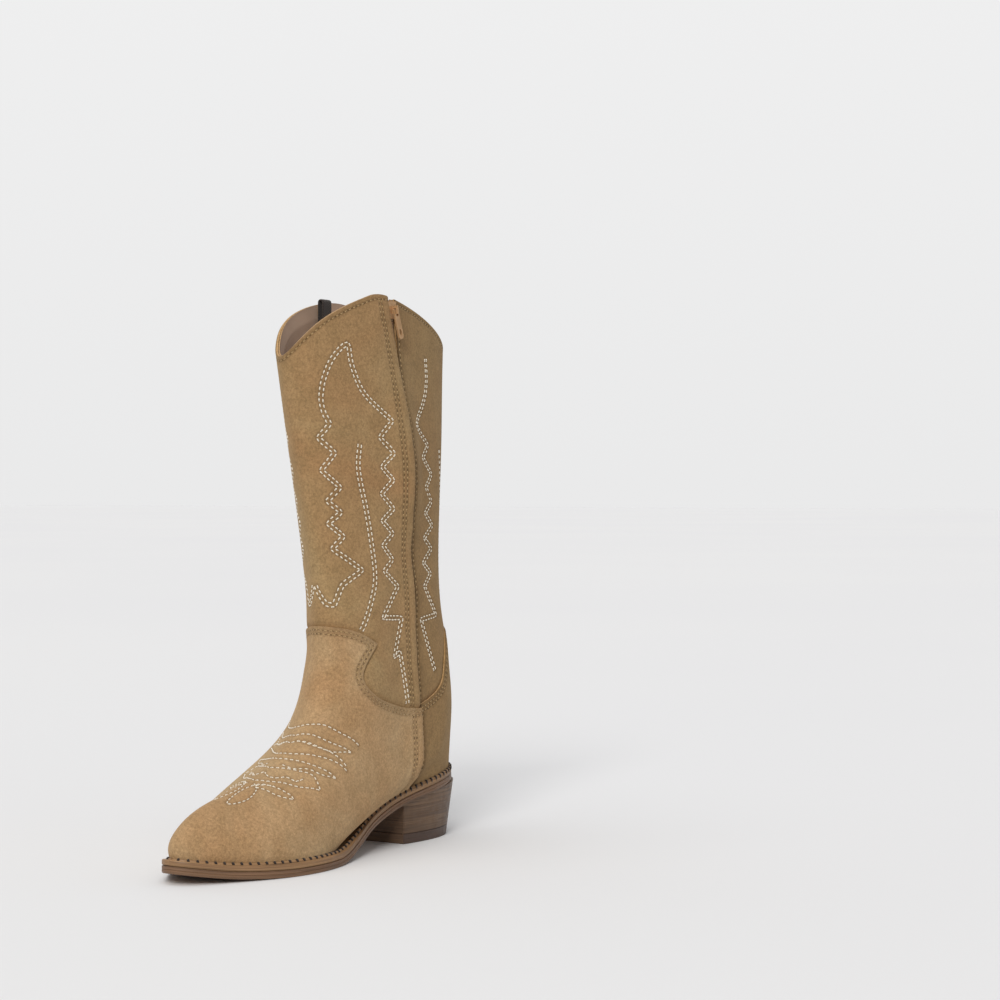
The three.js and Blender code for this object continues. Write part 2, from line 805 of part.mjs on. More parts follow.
function heelCone() {
  const points = [...ovalRing(HEEL_BOTTOM, 0), ...ovalRing(HEEL_TOP, HEEL_TOP_Z)];
  const lowMiddle = points.push(new THREE.Vector3(0, HEEL_BOTTOM.middle, 0)) - 1;
  const highMiddle = points.push(new THREE.Vector3(0, HEEL_TOP.middle, HEEL_TOP_Z)) - 1;
  const faces = [];
  for (let i = 0; i < HEEL_POINTS; i++) {
    const next = (i + 1) % HEEL_POINTS;
    faces.push(i, next, HEEL_POINTS + next, i, HEEL_POINTS + next, HEEL_POINTS + i);
    faces.push(lowMiddle, next, i, highMiddle, HEEL_POINTS + i, HEEL_POINTS + next);
  }
  const breast = [[-90, -10], [-25, -10], [-33, 70], [-90, 70]];
  return solidOf(geometryFrom(points, faces)).subtract(sidePrism(breast));
}

const heelBlock = heelCone().intersect(sidePrism(underProfile(SOLE_THICK + GAP)));

function heelSlice(fromZ, toZ) {
  return heelBlock.intersect(sidePrism([[-90, fromZ], [120, fromZ], [120, toZ], [-90, toZ]]));
}

function heelTopLift() {
  return heelSlice(-1, TOP_LIFT_THICK);
}

function heelLift(index) {
  const from = TOP_LIFT_THICK + GAP + index * (LIFT_THICK + GAP);
  return bored(heelSlice(from, from + LIFT_THICK));
}

function heelNail([x, y]) {
  const headZ = featherHeight(y) + INSOLE_THICK - 0.4;
  return nailShape(x, y, NAIL_RADIUS, NAIL_FROM_Z, headZ, NAIL_SIDES);
}

// ---- assembly ---------------------------------------------------------------------------------

const boot = new THREE.Group();
boot.name = "cowboy_boot";

function addPiece(name, solid, color, roughness, metalness = 0) {
  const material = new THREE.MeshStandardMaterial({ color, roughness, metalness });
  const mesh = new THREE.Mesh(geometryOf(solid), material);
  mesh.name = name;
  boot.add(mesh);
}

addPiece("vamp", vamp(), SUEDE_LIGHT, 0.95);
addPiece("counter", counter(), SUEDE, 0.95);
addPiece("shaft_front", shaftFront(), SUEDE, 0.95);
addPiece("shaft_back", shaftBack(), SUEDE, 0.95);
addPiece("vamp_lining", vampLining(), LINING, 0.9);
addPiece("heel_lining", heelLining(), LINING, 0.9);
addPiece("shaft_lining_front", shaftLiningFront(), LINING, 0.9);
addPiece("shaft_lining_back", shaftLiningBack(), LINING, 0.9);
addPiece("toe_puff", toePuff(), TEXTILE, 0.9);
addPiece("heel_stiffener", heelStiffener(), TEXTILE, 0.9);
addPiece("pull_strap", pullStrap(), DARK, 0.9);

for (const [side, name] of [[-1, "front"], [1, "back"]]) {
  addPiece("zip_tape_" + name, zipTape(side), TEXTILE, 0.9);
  addPiece("zip_teeth_" + name, zipTeeth(side), METAL, 0.45, 0.6);
  addPiece("zip_top_stop_" + name, zipTopStop(side), METAL, 0.45, 0.6);
}
addPiece("zip_bottom_stop", zipBottomStop(), METAL, 0.45, 0.6);
addPiece("zip_guard", zipGuard(), LINING, 0.9);
addPiece("zip_slider", zipSlider(), METAL, 0.45, 0.6);
addPiece("zip_pull_tab", zipPullTab(), METAL, 0.45, 0.6);

addPiece("welt", weltBand().intersect(aheadOfBreast), SOLE_LEATHER, 0.7);
addPiece("heel_rand", weltBand().intersect(behindBreast), SOLE_LEATHER, 0.7);
addPiece("outsole", outsole(), SOLE_LEATHER, 0.65);
addPiece("filler", filler(), CORK, 0.95);
addPiece("shank", shank(), STEEL, 0.4, 1);
addPiece("insole_board", insoleBoard(), FIBRE_BOARD, 0.9);
addPiece("sock_liner", sockLiner(), LINING, 0.9);
addPiece("heel_top_lift", heelTopLift(), DARK, 0.8);
for (let i = 0; i < LIFT_COUNT; i++) {
  addPiece("heel_lift_" + (i + 1), heelLift(i), HEEL_LEATHER, 0.6);
}
nailAxes().forEach((axis, i) => {
  addPiece("heel_nail_" + (i + 1), heelNail(axis), STEEL, 0.4, 1);
});

export default boot;
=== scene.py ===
import math

import bmesh
import bpy
import numpy as np
from mathutils import Matrix, Vector
from mathutils.bvhtree import BVHTree
from mathutils.kdtree import KDTree


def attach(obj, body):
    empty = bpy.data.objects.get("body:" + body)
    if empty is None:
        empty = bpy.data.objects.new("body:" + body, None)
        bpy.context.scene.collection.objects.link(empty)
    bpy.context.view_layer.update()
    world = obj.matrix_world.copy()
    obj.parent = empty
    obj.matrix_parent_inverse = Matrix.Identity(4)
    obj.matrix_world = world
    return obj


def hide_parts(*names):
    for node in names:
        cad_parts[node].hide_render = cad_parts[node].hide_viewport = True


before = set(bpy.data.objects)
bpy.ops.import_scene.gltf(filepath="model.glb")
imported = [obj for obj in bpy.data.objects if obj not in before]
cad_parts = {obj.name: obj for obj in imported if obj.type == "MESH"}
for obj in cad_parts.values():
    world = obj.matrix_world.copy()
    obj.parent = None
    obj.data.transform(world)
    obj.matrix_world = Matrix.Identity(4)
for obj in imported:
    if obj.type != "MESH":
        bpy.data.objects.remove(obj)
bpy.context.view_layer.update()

MM = 0.001


# ---- the outer surface of the upper, as the CAD shapes it ---------------------------------------

FOOT_STATIONS = (0.1, 0.32, 0.6, 0.86)
SHAFT_STATIONS = (0.09, 0.28, 0.6, 0.84)
FOOT_LEVELS = 5
ZIP_TOP = np.array((27.0, -42.0, 345.0))
ZIP_BOTTOM = np.array((37.0, -28.0, 41.0))
LEVELS = (
    dict(front=(8, -225, 14), back=(45, 45), medial=(30, 46, 28, 28), lateral=(16, 43, 33, 29),
         heights=(10, 8, 25, 41)),
    dict(front=(8, -224, 26), back=(50, 66), medial=(31, 46, 0, 31), lateral=(16, 43, 34, 30),
         heights=(21, 24, 44, 62), zip=48),
    dict(front=(9, -204, 41), back=(49, 90), medial=(27, 43, 0, 32), lateral=(10, 35, 31, 28),
         heights=(38, 45, 68, 86), zip=70),
    dict(front=(10, -163, 52), back=(43, 113), medial=(26, 38, 0, 30), lateral=(6, 26, 27, 23),
         heights=(54, 66, 91, 109), zip=92),
    dict(front=(12, -123, 74), back=(36, 134), medial=(28, 36, 0, 28), lateral=(5, 21, 24, 20),
         heights=(78, 94, 115, 130), zip=116),
    dict(front=(14, -100, 116), back=(31, 162), medial=(28, 35, 0, 26), lateral=(4, 18, 23, 18),
         heights=(122, 136, 150, 160), zip=150),
    dict(front=(8, -98, 190), back=(33, 210), medial=(23, 32, 0, 23), lateral=(10, 26, 28, 22),
         heights=(192, 197, 203, 208), zip=202),
    dict(front=(-2, -102, 255), back=(39, 262), medial=(17, 28, 0, 20), lateral=(20, 32, 34, 25),
         heights=(256, 258, 260, 262), zip=260),
    dict(front=(-7, -110, 310), back=(44, 317), medial=(12, 24, 0, 17), lateral=(23, 34, 36, 25),
         heights=(331, 347, 346, 333), lateral_heights=(320, 339, 349, 333), zip=349),
)
FEATHER = ((-240, 17.5), (-225, 14.2), (-198, 10), (-165, 8.3), (-140, 8.3), (-115, 8.6),
           (-90, 14.5), (-63, 24.5), (-30, 34.5), (7, 41), (46, 45), (60, 46))
CROSSING = 88.0
FAR_AWAY = 400.0
VAMP_EDGE = ((-30.2, 88), (-49, 91), (-71, 99), (-80, 112), (-67, 131))
VAMP_TOP = ((-67, 131), (-82, 139), (-100, 143), (-130, 146))
COUNTER_EDGE = ((-30.2, 88), (-8, 95), (5, 104), (13, 120), (24, 136), (70, 146))

COLUMNS = 640
ROWS = 460
RINGS_ROUND = 10  # stations in one level


def zip_point(z):
    t = (z - ZIP_TOP[2]) / (ZIP_BOTTOM[2] - ZIP_TOP[2])
    return ZIP_TOP + np.multiply.outer(t, ZIP_BOTTOM - ZIP_TOP)


def level_ring(level, stations):
    front_x, front_y, front_z = level["front"]
    back_y, back_z = level["back"]
    ys = [front_y + (back_y - front_y) * t for t in stations]
    heights = level["heights"]
    ring = [(front_x, front_y, front_z)]
    for i in range(4):
        on_zip = i == 2 and "zip" in level
        ring.append(tuple(zip_point(level["zip"])) if on_zip else (level["medial"][i], ys[i], heights[i]))
    ring.append((0, back_y, back_z))
    outer = level.get("lateral_heights", heights)
    for i in (3, 2, 1, 0):
        ring.append((-level["lateral"][i], ys[i], outer[i]))
    return ring


def spline(values, places, closed):
    """A cubic spline through rows of values at 0, 1, 2..., read at the given places."""
    values = np.asarray(values, float)
    count = len(values)
    system = np.eye(count)
    bend = np.zeros_like(values)
    for i in range(0 if closed else 1, count if closed else count - 1):
        system[i, i] = 4
        system[i, (i - 1) % count] = system[i, (i + 1) % count] = 1
        bend[i] = 6 * (values[(i + 1) % count] - 2 * values[i] + values[i - 1])
    curve = np.linalg.solve(system, bend)
    places = np.asarray(places, float)
    i = np.clip(np.floor(places).astype(int), 0, count - 1 if closed else count - 2)
    j = (i + 1) % count
    b = (places - i)[:, None]
    a = 1 - b
    return a * values[i] + b * values[j] + ((a**3 - a) * curve[i] + (b**3 - b) * curve[j]) / 6


def smooth_line(points, steps):
    """Catmull-Rom through a few points, as rows of numbers."""
    points = np.asarray(points, float)
    padded = np.vstack((2 * points[0] - points[1], points, 2 * points[-1] - points[-2]))
    out = []
    for k in range(steps + 1):
        t = k / steps * (len(points) - 1)
        i = min(int(t), len(points) - 2)
        s = t - i
        a, b, c, d = padded[i:i + 4]
        out.append(0.5 * (2 * b + (c - a) * s + (2 * a - 5 * b + 4 * c - d) * s**2
                          + (3 * b - a - 3 * c + d) * s**3))
    return np.array(out)


def surface_points(places, heights):
    rings = np.array([level_ring(l, FOOT_STATIONS if k < FOOT_LEVELS else SHAFT_STATIONS)
                      for k, l in enumerate(LEVELS)])
    levels = len(rings)
    around = spline(rings.transpose(1, 0, 2).reshape(RINGS_ROUND, -1), places, True)
    around = around.reshape(len(places), levels, 3).transpose(1, 0, 2).reshape(levels, -1)
    return spline(around, heights, False).reshape(len(heights), len(places), 3) * MM


def even_heights():
    """Level numbers of the rows, so that rows lie about evenly up the surface."""
    coarse = np.linspace(-0.3, len(LEVELS) - 1, 200)
    step = np.linalg.norm(np.diff(surface_points(np.arange(10.0), coarse), axis=0), axis=2).mean(1)
    run = np.concatenate(([0], np.cumsum(step)))
    return np.interp(np.linspace(0, run[-1], ROWS), run, coarse)


ROUND = np.linspace(0, RINGS_ROUND, COLUMNS, endpoint=False)
UP = even_heights()
SKIN = surface_points(ROUND, UP)  # rows x columns x 3
ZIP_COLUMN = int(COLUMNS * 0.3)


def normals_of(points):
    across = np.roll(points, -1, 1) - np.roll(points, 1, 1)
    normal = np.cross(across, np.gradient(points, axis=0))
    return normal / np.linalg.norm(normal, axis=2, keepdims=True)


NORMAL = normals_of(SKIN)
SIDE_Y = SKIN[..., 1] / MM
SIDE_Z = SKIN[..., 2] / MM
MEDIAL = np.broadcast_to(ROUND < 5, SIDE_Y.shape)


FEATHER_LINE = smooth_line(FEATHER, 160)


def feather_height(y):
    return np.interp(y, FEATHER_LINE[:, 0], FEATHER_LINE[:, 1])


def side_distance(line, far):
    """Distance in side view to a line of (y, z) points, positive below it.

    The line and the floor close a loop through y = far; "below" is inside that loop.
    """
    best = np.full(SIDE_Y.shape, 1e9)
    for (ay, az), (by, bz) in zip(line[:-1], line[1:]):
        dy, dz = by - ay, bz - az
        t = np.clip(((SIDE_Y - ay) * dy + (SIDE_Z - az) * dz) / (dy * dy + dz * dz), 0, 1)
        best = np.minimum(best, np.hypot(SIDE_Y - ay - t * dy, SIDE_Z - az - t * dz))
    loop = [*line, (far, line[-1][1]), (far, -FAR_AWAY), (line[0][0], -FAR_AWAY), line[0]]
    inside = np.zeros(SIDE_Y.shape, bool)
    for (ay, az), (by, bz) in zip(loop[:-1], loop[1:]):
        if az != bz:
            spans = (az > SIDE_Z) != (bz > SIDE_Z)
            inside ^= spans & (SIDE_Y < ay + (SIDE_Z - az) * (by - ay) / (bz - az))
    return np.where(inside, best, -best)


AHEAD = zip_point(SIDE_Z)[..., 1] - SIDE_Y  # mm from the zip line towards the toe
BELOW_VAMP = side_distance(np.vstack((
    (FAR_AWAY, CROSSING), smooth_line(VAMP_EDGE, 40), smooth_line(VAMP_TOP, 20)[1:])), -FAR_AWAY)
BELOW_COUNTER = side_distance(np.vstack(((-FAR_AWAY, CROSSING), smooth_line(COUNTER_EDGE, 50))), FAR_AWAY)
ABOVE_FEATHER = SIDE_Z - feather_height(SIDE_Y)
UNDER_RIM = np.flip(np.cumsum(np.flip(np.concatenate(
    (np.linalg.norm(np.diff(SKIN, axis=0), axis=2), np.zeros((1, COLUMNS)))), 0), axis=0), 0) / MM


def curve_of(pairs):
    """A smooth value for any height through (height, value) pairs."""
    line = smooth_line(sorted(pairs), 120)
    return lambda z: np.interp(z, line[:, 0], line[:, 1])


# ---- the facing that covers the zip -------------------------------------------------------------

# Height, how far the facing reaches past the zip line, and how far its edge stands off.
FACING = ((35, 1.5, 0.4), (48, 3, 1.6), (62, 5, 3), (84, 5.5, 2.6), (110, 4.5, 2.2), (135, 4.5, 2.6),
          (160, 5, 3.6), (186, 4.5, 2.6), (204, 5, 4.2), (232, 6, 6.8), (250, 6, 7), (270, 5, 6),
          (290, 3.6, 4), (308, 2, 2), (326, -0.5, 1), (338, -3, 0.6), (352, -4.5, 0.4))
facing_reach = curve_of([(z, reach) for z, reach, _ in FACING])
facing_lift = curve_of([(z, lift) for z, _, lift in FACING])
FACING_HINGE = 17.0
# Height, how far behind the zip line the heel-side leather stops, and how far its edge stands off.
HEEL_SIDE = ((35, 5.6, 0), (60, 5.8, 0.4), (84, 6.5, 0.6), (110, 5.5, 0.4), (140, 6.5, 0.6), (162, 8.5, 1),
             (186, 7, 0.6), (204, 8.5, 1.4), (232, 12, 3), (250, 12, 3), (270, 9.5, 2.6),
             (284, 7.2, 1.6), (304, 4.9, 0.6), (326, 4.6, 0), (352, 4.6, 0))
heel_side_stands = curve_of([(z, stands) for z, stands, _ in HEEL_SIDE])
heel_side_lift = curve_of([(z, lift) for z, _, lift in HEEL_SIDE])
HEEL_SIDE_HINGE = 30.0


def facing_bulge():
    """How far the front panels stand off near the zip, in mm."""
    reach = facing_reach(SIDE_Z)
    t = np.clip((FACING_HINGE - AHEAD) / (FACING_HINGE + reach), 0, 1)
    rise = t * t * (3 - 2 * t)
    return np.where(MEDIAL, facing_lift(SIDE_Z) * rise, 0)


def heel_side_bulge():
    """How far the heel-side leather stands off near the zip, in mm."""
    stands = heel_side_stands(SIDE_Z)
    t = np.clip((HEEL_SIDE_HINGE + AHEAD) / (HEEL_SIDE_HINGE - stands), 0, 1)
    return np.where(MEDIAL, heel_side_lift(SIDE_Z) * t * t * (3 - 2 * t), 0)


def ripple():
    """Slow waves in the soft shaft and creases where the ankle bends, in mm."""
    y, z = SIDE_Y, SIDE_Z
    x = SKIN[..., 0] / MM
    slow = np.sin(z / 31 + y / 27 + x / 40) * 0.35 + np.sin(z / 19 - y / 43 + 1.3) * 0.2
    ankle = np.exp(-((z - 128) / 26) ** 2) * np.clip((-y - 20) / 50, 0, 1)
    crease = ankle * (np.sin(z / 6.1 + y / 23) * 0.35 + np.sin(z / 9.7 - y / 17) * 0.3)
    return (slow + crease) * np.clip((z - 60) / 60, 0, 1)


BULGE = facing_bulge()
HEEL_BULGE = heel_side_bulge()
HEEL_STANDS = heel_side_stands(SIDE_Z)
RIPPLE = ripple()


def surface_of(lift):
    """The skin moved outwards by a lift in mm, and its normals."""
    points = SKIN + NORMAL * (lift * MM)[..., None]
    return points, normals_of(points)


# ---- meshes --------------------------------------------------------------------------------------

def make_object(name, vertices, faces, materials, indices=None, sharp_angle=40):
    mesh = bpy.data.meshes.new(name)
    mesh.from_pydata(np.asarray(vertices, float).tolist(), [], faces)
    for material in materials:
        mesh.materials.append(material)
    if indices is not None:
        mesh.polygons.foreach_set("material_index", indices)
    mesh.validate()
    piece = bpy.data.objects.new(name, mesh)
    bpy.context.scene.collection.objects.link(piece)
    mesh.shade_smooth()
    if sharp_angle:
        mesh.set_sharp_from_angle(angle=math.radians(sharp_angle))
    return piece


def face_outwards(piece):
    work = bmesh.new()
    work.from_mesh(piece.data)
    bmesh.ops.recalc_face_normals(work, faces=work.faces)
    work.to_mesh(piece.data)
    work.free()


def settle(piece, body, slot, *nodes):
    """Rides a finished piece on its body and hides the CAD nodes it stands for."""
    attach(piece, body)
    if nodes:
        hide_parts(*nodes)
    return piece


def add_values(piece, name, values):
    attribute = piece.data.attributes.new(name, "FLOAT", "POINT")
    attribute.data.foreach_set("value", np.asarray(values, np.float32))


def clipped_cells(region):
    """The part of the skin's grid where region >= 0: grid points first, then cut points.

    Returns the faces, and for each cut point its two grid neighbours and where it lies between them.
    """
    inside = region >= 0
    right = np.roll(inside, -1, 1)
    whole = inside[:-1] & right[:-1] & inside[1:] & right[1:]
    touched = (inside[:-1] | right[:-1] | inside[1:] | right[1:]) & ~whole
    index = np.arange(region.size).reshape(region.shape)
    nxt = np.roll(index, -1, 1)
    quads = np.stack((index[:-1], nxt[:-1], nxt[1:], index[1:]), 2)[whole]
    faces = quads.tolist()
    flat = region.ravel()
    cuts, where = {}, []

    def cut(a, b):
        key = (min(a, b), max(a, b))
        if key not in cuts:
            cuts[key] = region.size + len(where)
            where.append((*key, flat[key[0]] / (flat[key[0]] - flat[key[1]])))
        return cuts[key]

    for j, i in zip(*np.nonzero(touched)):
        corners = [index[j, i], nxt[j, i], nxt[j + 1, i], index[j + 1, i]]
        polygon = []
        for a, b in zip(corners, corners[1:] + corners[:1]):
            if flat[a] >= 0:
                polygon.append(int(a))
            if (flat[a] >= 0) != (flat[b] >= 0):
                polygon.append(cut(int(a), int(b)))
        if len(polygon) > 2:
            faces.append(polygon)
    return faces, where


def snapped(region):
    """Sets values very near zero to zero, so that no sliver is cut there."""
    return np.where(np.abs(region) < 0.16, 0, region)


class Panel:
    """A cut piece of hide: the skin where region >= 0, with rounded, thick edges."""

    def __init__(self, name, region, lift, thick, materials, grooves=(), edge_round=0.7, painted_shadow=None):
        self.points, self.normals = surface_of(lift)
        self.region = snapped(region)
        faces, where = clipped_cells(self.region)
        used = np.array(sorted({v for face in faces for v in face}))
        count = len(used)
        number = {old: new for new, old in enumerate(used.tolist())}
        faces = [[number[v] for v in face] for face in faces]
        places = self.gather(self.points, where)[used]
        normal = self.gather(self.normals, where)[used]
        edge = self.gather(self.region, where)[used]
        near = np.clip(edge_round - edge, 0, edge_round)
        drop = edge_round - np.sqrt(np.maximum(edge_round**2 - near**2, 0))
        # Painted shade: the face darkens within a few mm of each cut edge, where laps and rims shade it; the crease
        # attribute carries it to the material.
        crease = np.exp(-np.clip(edge, 0, 99) / 1.6) * 0.35
        # Painted shadow, where one is given, darkens the face further through the crease attribute.
        if painted_shadow is not None:
            crease = np.maximum(crease, self.gather(painted_shadow, where)[used])
        near_by = self.tree_of(places) if grooves else None
        for rows, depth, width, dark in grooves:
            away = rows.distance(near_by, count, 1.5 * width)
            bowl = np.clip(1 - (away / width) ** 2, 0, 1)
            drop = drop + depth * bowl
            # Painted shade in the groove, added to its real depth.
            crease = np.maximum(crease, dark * np.clip(1 - away / (1.5 * width), 0, 1))
        outer = places - normal * (drop * MM)[:, None]
        inner = places - normal * thick * MM
        rim_loops = self.boundary(faces)
        walls = [[a, a + count, b + count, b] for a, b in rim_loops]
        backs = [[v + count for v in reversed(f)] for f in faces]
        vertices = np.vstack((outer, inner))
        indices = [0] * len(faces) + [1] * len(walls) + [2] * len(backs)
        self.piece = make_object(name, vertices, faces + walls + backs, materials, indices, 50)
        add_values(self.piece, "crease", np.concatenate((crease, crease)))
        self.tree = BVHTree.FromPolygons(outer.tolist(), faces)

    @staticmethod
    def tree_of(places):
        tree = KDTree(len(places))
        for i, place in enumerate(places.tolist()):
            tree.insert(place, i)
        tree.balance()
        return tree

    def gather(self, grid, where):
        """Grid values followed by the values at the cut points."""
        flat = grid.reshape(-1, *grid.shape[2:])
        if not where:
            return flat
        a, b, t = (np.array(column) for column in zip(*where))
        t = t.reshape(-1, *[1] * (flat.ndim - 1))
        return np.concatenate((flat, flat[a] * (1 - t) + flat[b] * t))

    @staticmethod
    def boundary(faces):
        seen = {}
        for face in faces:
            for a, b in zip(face, face[1:] + face[:1]):
                if (b, a) in seen:
                    del seen[(b, a)]
                else:
                    seen[(a, b)] = True
        return [(b, a) for a, b in seen]


# ---- lines on the surface -----------------------------------------------------------------------

def contour(field, level, keep, points):
    """Lines on the skin where the field crosses a level, as lists of 3-D points."""
    values = field - level
    index = np.arange(values.size).reshape(values.shape)
    right = np.roll(values, -1, 1)
    low = np.minimum.reduce((values[:-1], right[:-1], values[1:], right[1:]))
    high = np.maximum.reduce((values[:-1], right[:-1], values[1:], right[1:]))
    flat = values.ravel()
    spots = points.reshape(-1, 3)
    links, place = {}, {}
    for j, i in zip(*np.nonzero((low < 0) & (high >= 0) & keep[:-1])):
        k = (i + 1) % COLUMNS
        corners = [index[j, i], index[j, k], index[j + 1, k], index[j + 1, i]]
        crossed = []
        for a, b in zip(corners, corners[1:] + corners[:1]):
            if (flat[a] < 0) != (flat[b] < 0):
                key = (min(a, b), max(a, b))
                t = flat[key[0]] / (flat[key[0]] - flat[key[1]])
                place[key] = spots[key[0]] * (1 - t) + spots[key[1]] * t
                crossed.append(key)
        for a, b in zip(crossed[::2], crossed[1::2]):
            links.setdefault(a, []).append(b)
            links.setdefault(b, []).append(a)
    return [np.array([place[k] for k in chain]) for chain in chains_of(links)]


def chains_of(links):
    """Walks linked keys into chains, the open ones from an end."""
    left = set(links)
    chains = []
    for start in sorted(links, key=lambda k: (len(links[k]), k)):
        if start not in left:
            continue
        chain = [start]
        left.discard(start)
        while True:
            onward = [k for k in links[chain[-1]] if k in left]
            if not onward:
                break
            chain.append(onward[0])
            left.discard(onward[0])
        if len(chain) > 8:
            chains.append(chain)
    return chains


def even_points(line, step):
    """The same line with points an even step apart, in metres."""
    line = np.asarray(line, float)
    length = np.concatenate(([0], np.cumsum(np.linalg.norm(np.diff(line, axis=0), axis=1))))
    count = max(int(round(length[-1] / step)), 1)
    at = np.linspace(0, length[-1], count + 1)
    return np.stack([np.interp(at, length, line[:, k]) for k in range(line.shape[1])], 1)


def softened(line, times=3):
    """Takes the jaggedness out of a traced line; its ends stay."""
    line = np.array(line)
    for _ in range(times):
        line[1:-1] = (line[:-2] + 2 * line[1:-1] + line[2:]) / 4
    return line


class Rows:
    """Rows of stitching of one kind: lines in 3-D, and how far any point is from them."""

    def __init__(self, lines):
        self.lines = [even_points(line, 0.6 * MM) for line in lines if len(line) > 1]

    def distance(self, tree, count, reach):
        """Distance in mm from each place in a tree to the nearest row, as far as the reach."""
        away = np.full(count, 99.0)
        for spot in np.vstack(self.lines).tolist():
            for _, i, gap in tree.find_range(spot, reach * MM):
                away[i] = min(away[i], gap / MM)
        return away


def lap_table():
    """For heights up the shaft: distance round the boot from the zip, for every column."""
    heights = np.arange(60.0, 356.0, 2.0)
    order = (ZIP_COLUMN + np.arange(COLUMNS)) % COLUMNS
    at = np.empty((len(heights), COLUMNS, 3))
    for k, column in enumerate(order):
        z = SIDE_Z[:, column]
        for axis in range(3):
            at[:, k, axis] = np.interp(heights, z, SKIN[:, column, axis])
    step = np.linalg.norm(np.diff(np.concatenate((at, at[:, :1]), 1), axis=1), axis=2) / MM
    run = np.concatenate((np.zeros((len(heights), 1)), np.cumsum(step, 1)), 1)
    return heights, run, np.concatenate((at, at[:, :1]), 1)


LAP_HEIGHTS, LAP_RUN, LAP_POINTS = lap_table()


def shaft_point(distance, z):
    """The skin at a height, a distance round from the zip: positive towards the heel, in mm."""
    place = np.clip((z - LAP_HEIGHTS[0]) / 2, 0, len(LAP_HEIGHTS) - 1.001)
    row = int(place)
    ends = []
    for r in (row, row + 1):
        at = distance % LAP_RUN[r, -1]
        ends.append(np.array([np.interp(at, LAP_RUN[r], LAP_POINTS[r, :, k]) for k in range(3)]))
    return ends[0] + (ends[1] - ends[0]) * (place - row)


def seam_runs():
    """For each height, the distance round the back from the zip to the outer side's seam, in mm."""
    runs = []
    for z, run, points in zip(LAP_HEIGHTS, LAP_RUN, LAP_POINTS):
        line = zip_point(z)[1] * MM
        far = run > run[-1] * 0.35
        k = int(np.argmax(far & (points[:, 1] < line)))
        before, after = points[k - 1, 1] - line, points[k, 1] - line
        runs.append(run[k - 1] + (run[k] - run[k - 1]) * before / (before - after))
    return np.array(runs)


SEAM_RUNS = seam_runs()


def seam_run(z):
    return np.interp(z, LAP_HEIGHTS, SEAM_RUNS)


def shifted(line, distance):
    """A flat line moved sideways, with its corners kept sharp."""
    line = np.asarray(line, float)
    before = np.vstack((line[:1], line[:-1]))
    after = np.vstack((line[1:], line[-1:]))
    come = line - before
    go = after - line
    come[0], go[-1] = go[0], come[-1]
    come /= np.linalg.norm(come, axis=1, keepdims=True)
    go /= np.linalg.norm(go, axis=1, keepdims=True)
    mean = come + go
    mean /= np.linalg.norm(mean, axis=1, keepdims=True)
    spread = np.maximum((mean * go).sum(1, keepdims=True), 0.36)
    return line + np.stack((-mean[:, 1], mean[:, 0]), 1) * distance / spread


# ---- materials -----------------------------------------------------------------------------------

def linear(code):
    """A screen colour such as "9a7b54" as linear RGBA."""
    parts = [int(code[i:i + 2], 16) / 255 for i in (0, 2, 4)]
    return (*[p / 12.92 if p <= 0.04045 else ((p + 0.055) / 1.055) ** 2.4 for p in parts], 1)


class Paint:
    """A procedural material under construction; each method adds nodes and returns an output."""

    def __init__(self, name, roughness=0.8, specular=0.3, metallic=0.0, sheen=0.0, sheen_tint="ffffff"):
        self.material = bpy.data.materials.new(name)
        self.material.use_nodes = True
        self.tree = self.material.node_tree
        self.shader = self.tree.nodes["Principled BSDF"]
        self.shader.inputs["Roughness"].default_value = roughness
        self.shader.inputs["Specular IOR Level"].default_value = specular
        self.shader.inputs["Metallic"].default_value = metallic
        self.shader.inputs["Sheen Weight"].default_value = sheen
        self.shader.inputs["Sheen Roughness"].default_value = 0.6
        self.shader.inputs["Sheen Tint"].default_value = linear(sheen_tint)
        self.place = self.tree.nodes.new("ShaderNodeTexCoord").outputs["Object"]

    def put(self, target, value):
        if isinstance(value, bpy.types.NodeSocket):
            self.tree.links.new(value, target)
        else:
            target.default_value = value

    def add(self, kind, output=0, inputs=(), **settings):
        made = self.tree.nodes.new(kind)
        for key, value in settings.items():
            setattr(made, key, value)
        for key, value in dict(inputs).items():
            self.put(made.inputs[key], value)
        return made.outputs[output]

    def stretched(self, scale):
        return self.add("ShaderNodeMapping", 0, {"Vector": self.place, "Scale": scale})

    def noise(self, size, detail=2.0, rough=0.5, vector=None, warp=0.0):
        """Noise with features of about the given size in mm, from 0 to 1."""
        return self.add("ShaderNodeTexNoise", 0, {
            "Vector": self.place if vector is None else vector, "Scale": 1 / (size * MM) / 2,
            "Detail": detail, "Roughness": rough, "Distortion": warp})

    def spread(self, value, low, high, to_low=0.0, to_high=1.0):
        return self.add("ShaderNodeMapRange", 0, {
            "Value": value, "From Min": low, "From Max": high, "To Min": to_low, "To Max": to_high})

    def mix(self, share, a, b, blend="MIX"):
        return self.add("ShaderNodeMix", 2, {0: share, 6: a, 7: b}, data_type="RGBA", blend_type=blend)

    def maths(self, operation, a, b):
        return self.add("ShaderNodeMath", 0, {0: a, 1: b}, operation=operation)

    def attribute(self, name):
        return self.add("ShaderNodeAttribute", "Fac", attribute_name=name)

    def vector_attribute(self, name):
        return self.add("ShaderNodeAttribute", "Vector", attribute_name=name)

    def bump(self, height, distance_mm, strength=1.0, below=None):
        inputs = {"Height": height, "Distance": distance_mm * MM, "Strength": strength}
        if below is not None:
            inputs["Normal"] = below
        return self.add("ShaderNodeBump", 0, inputs)

    def finish(self, color, normal=None, roughness=None):
        self.put(self.shader.inputs["Base Color"], color)
        if normal is not None:
            self.put(self.shader.inputs["Normal"], normal)
        if roughness is not None:
            self.put(self.shader.inputs["Roughness"], roughness)
        return self.material


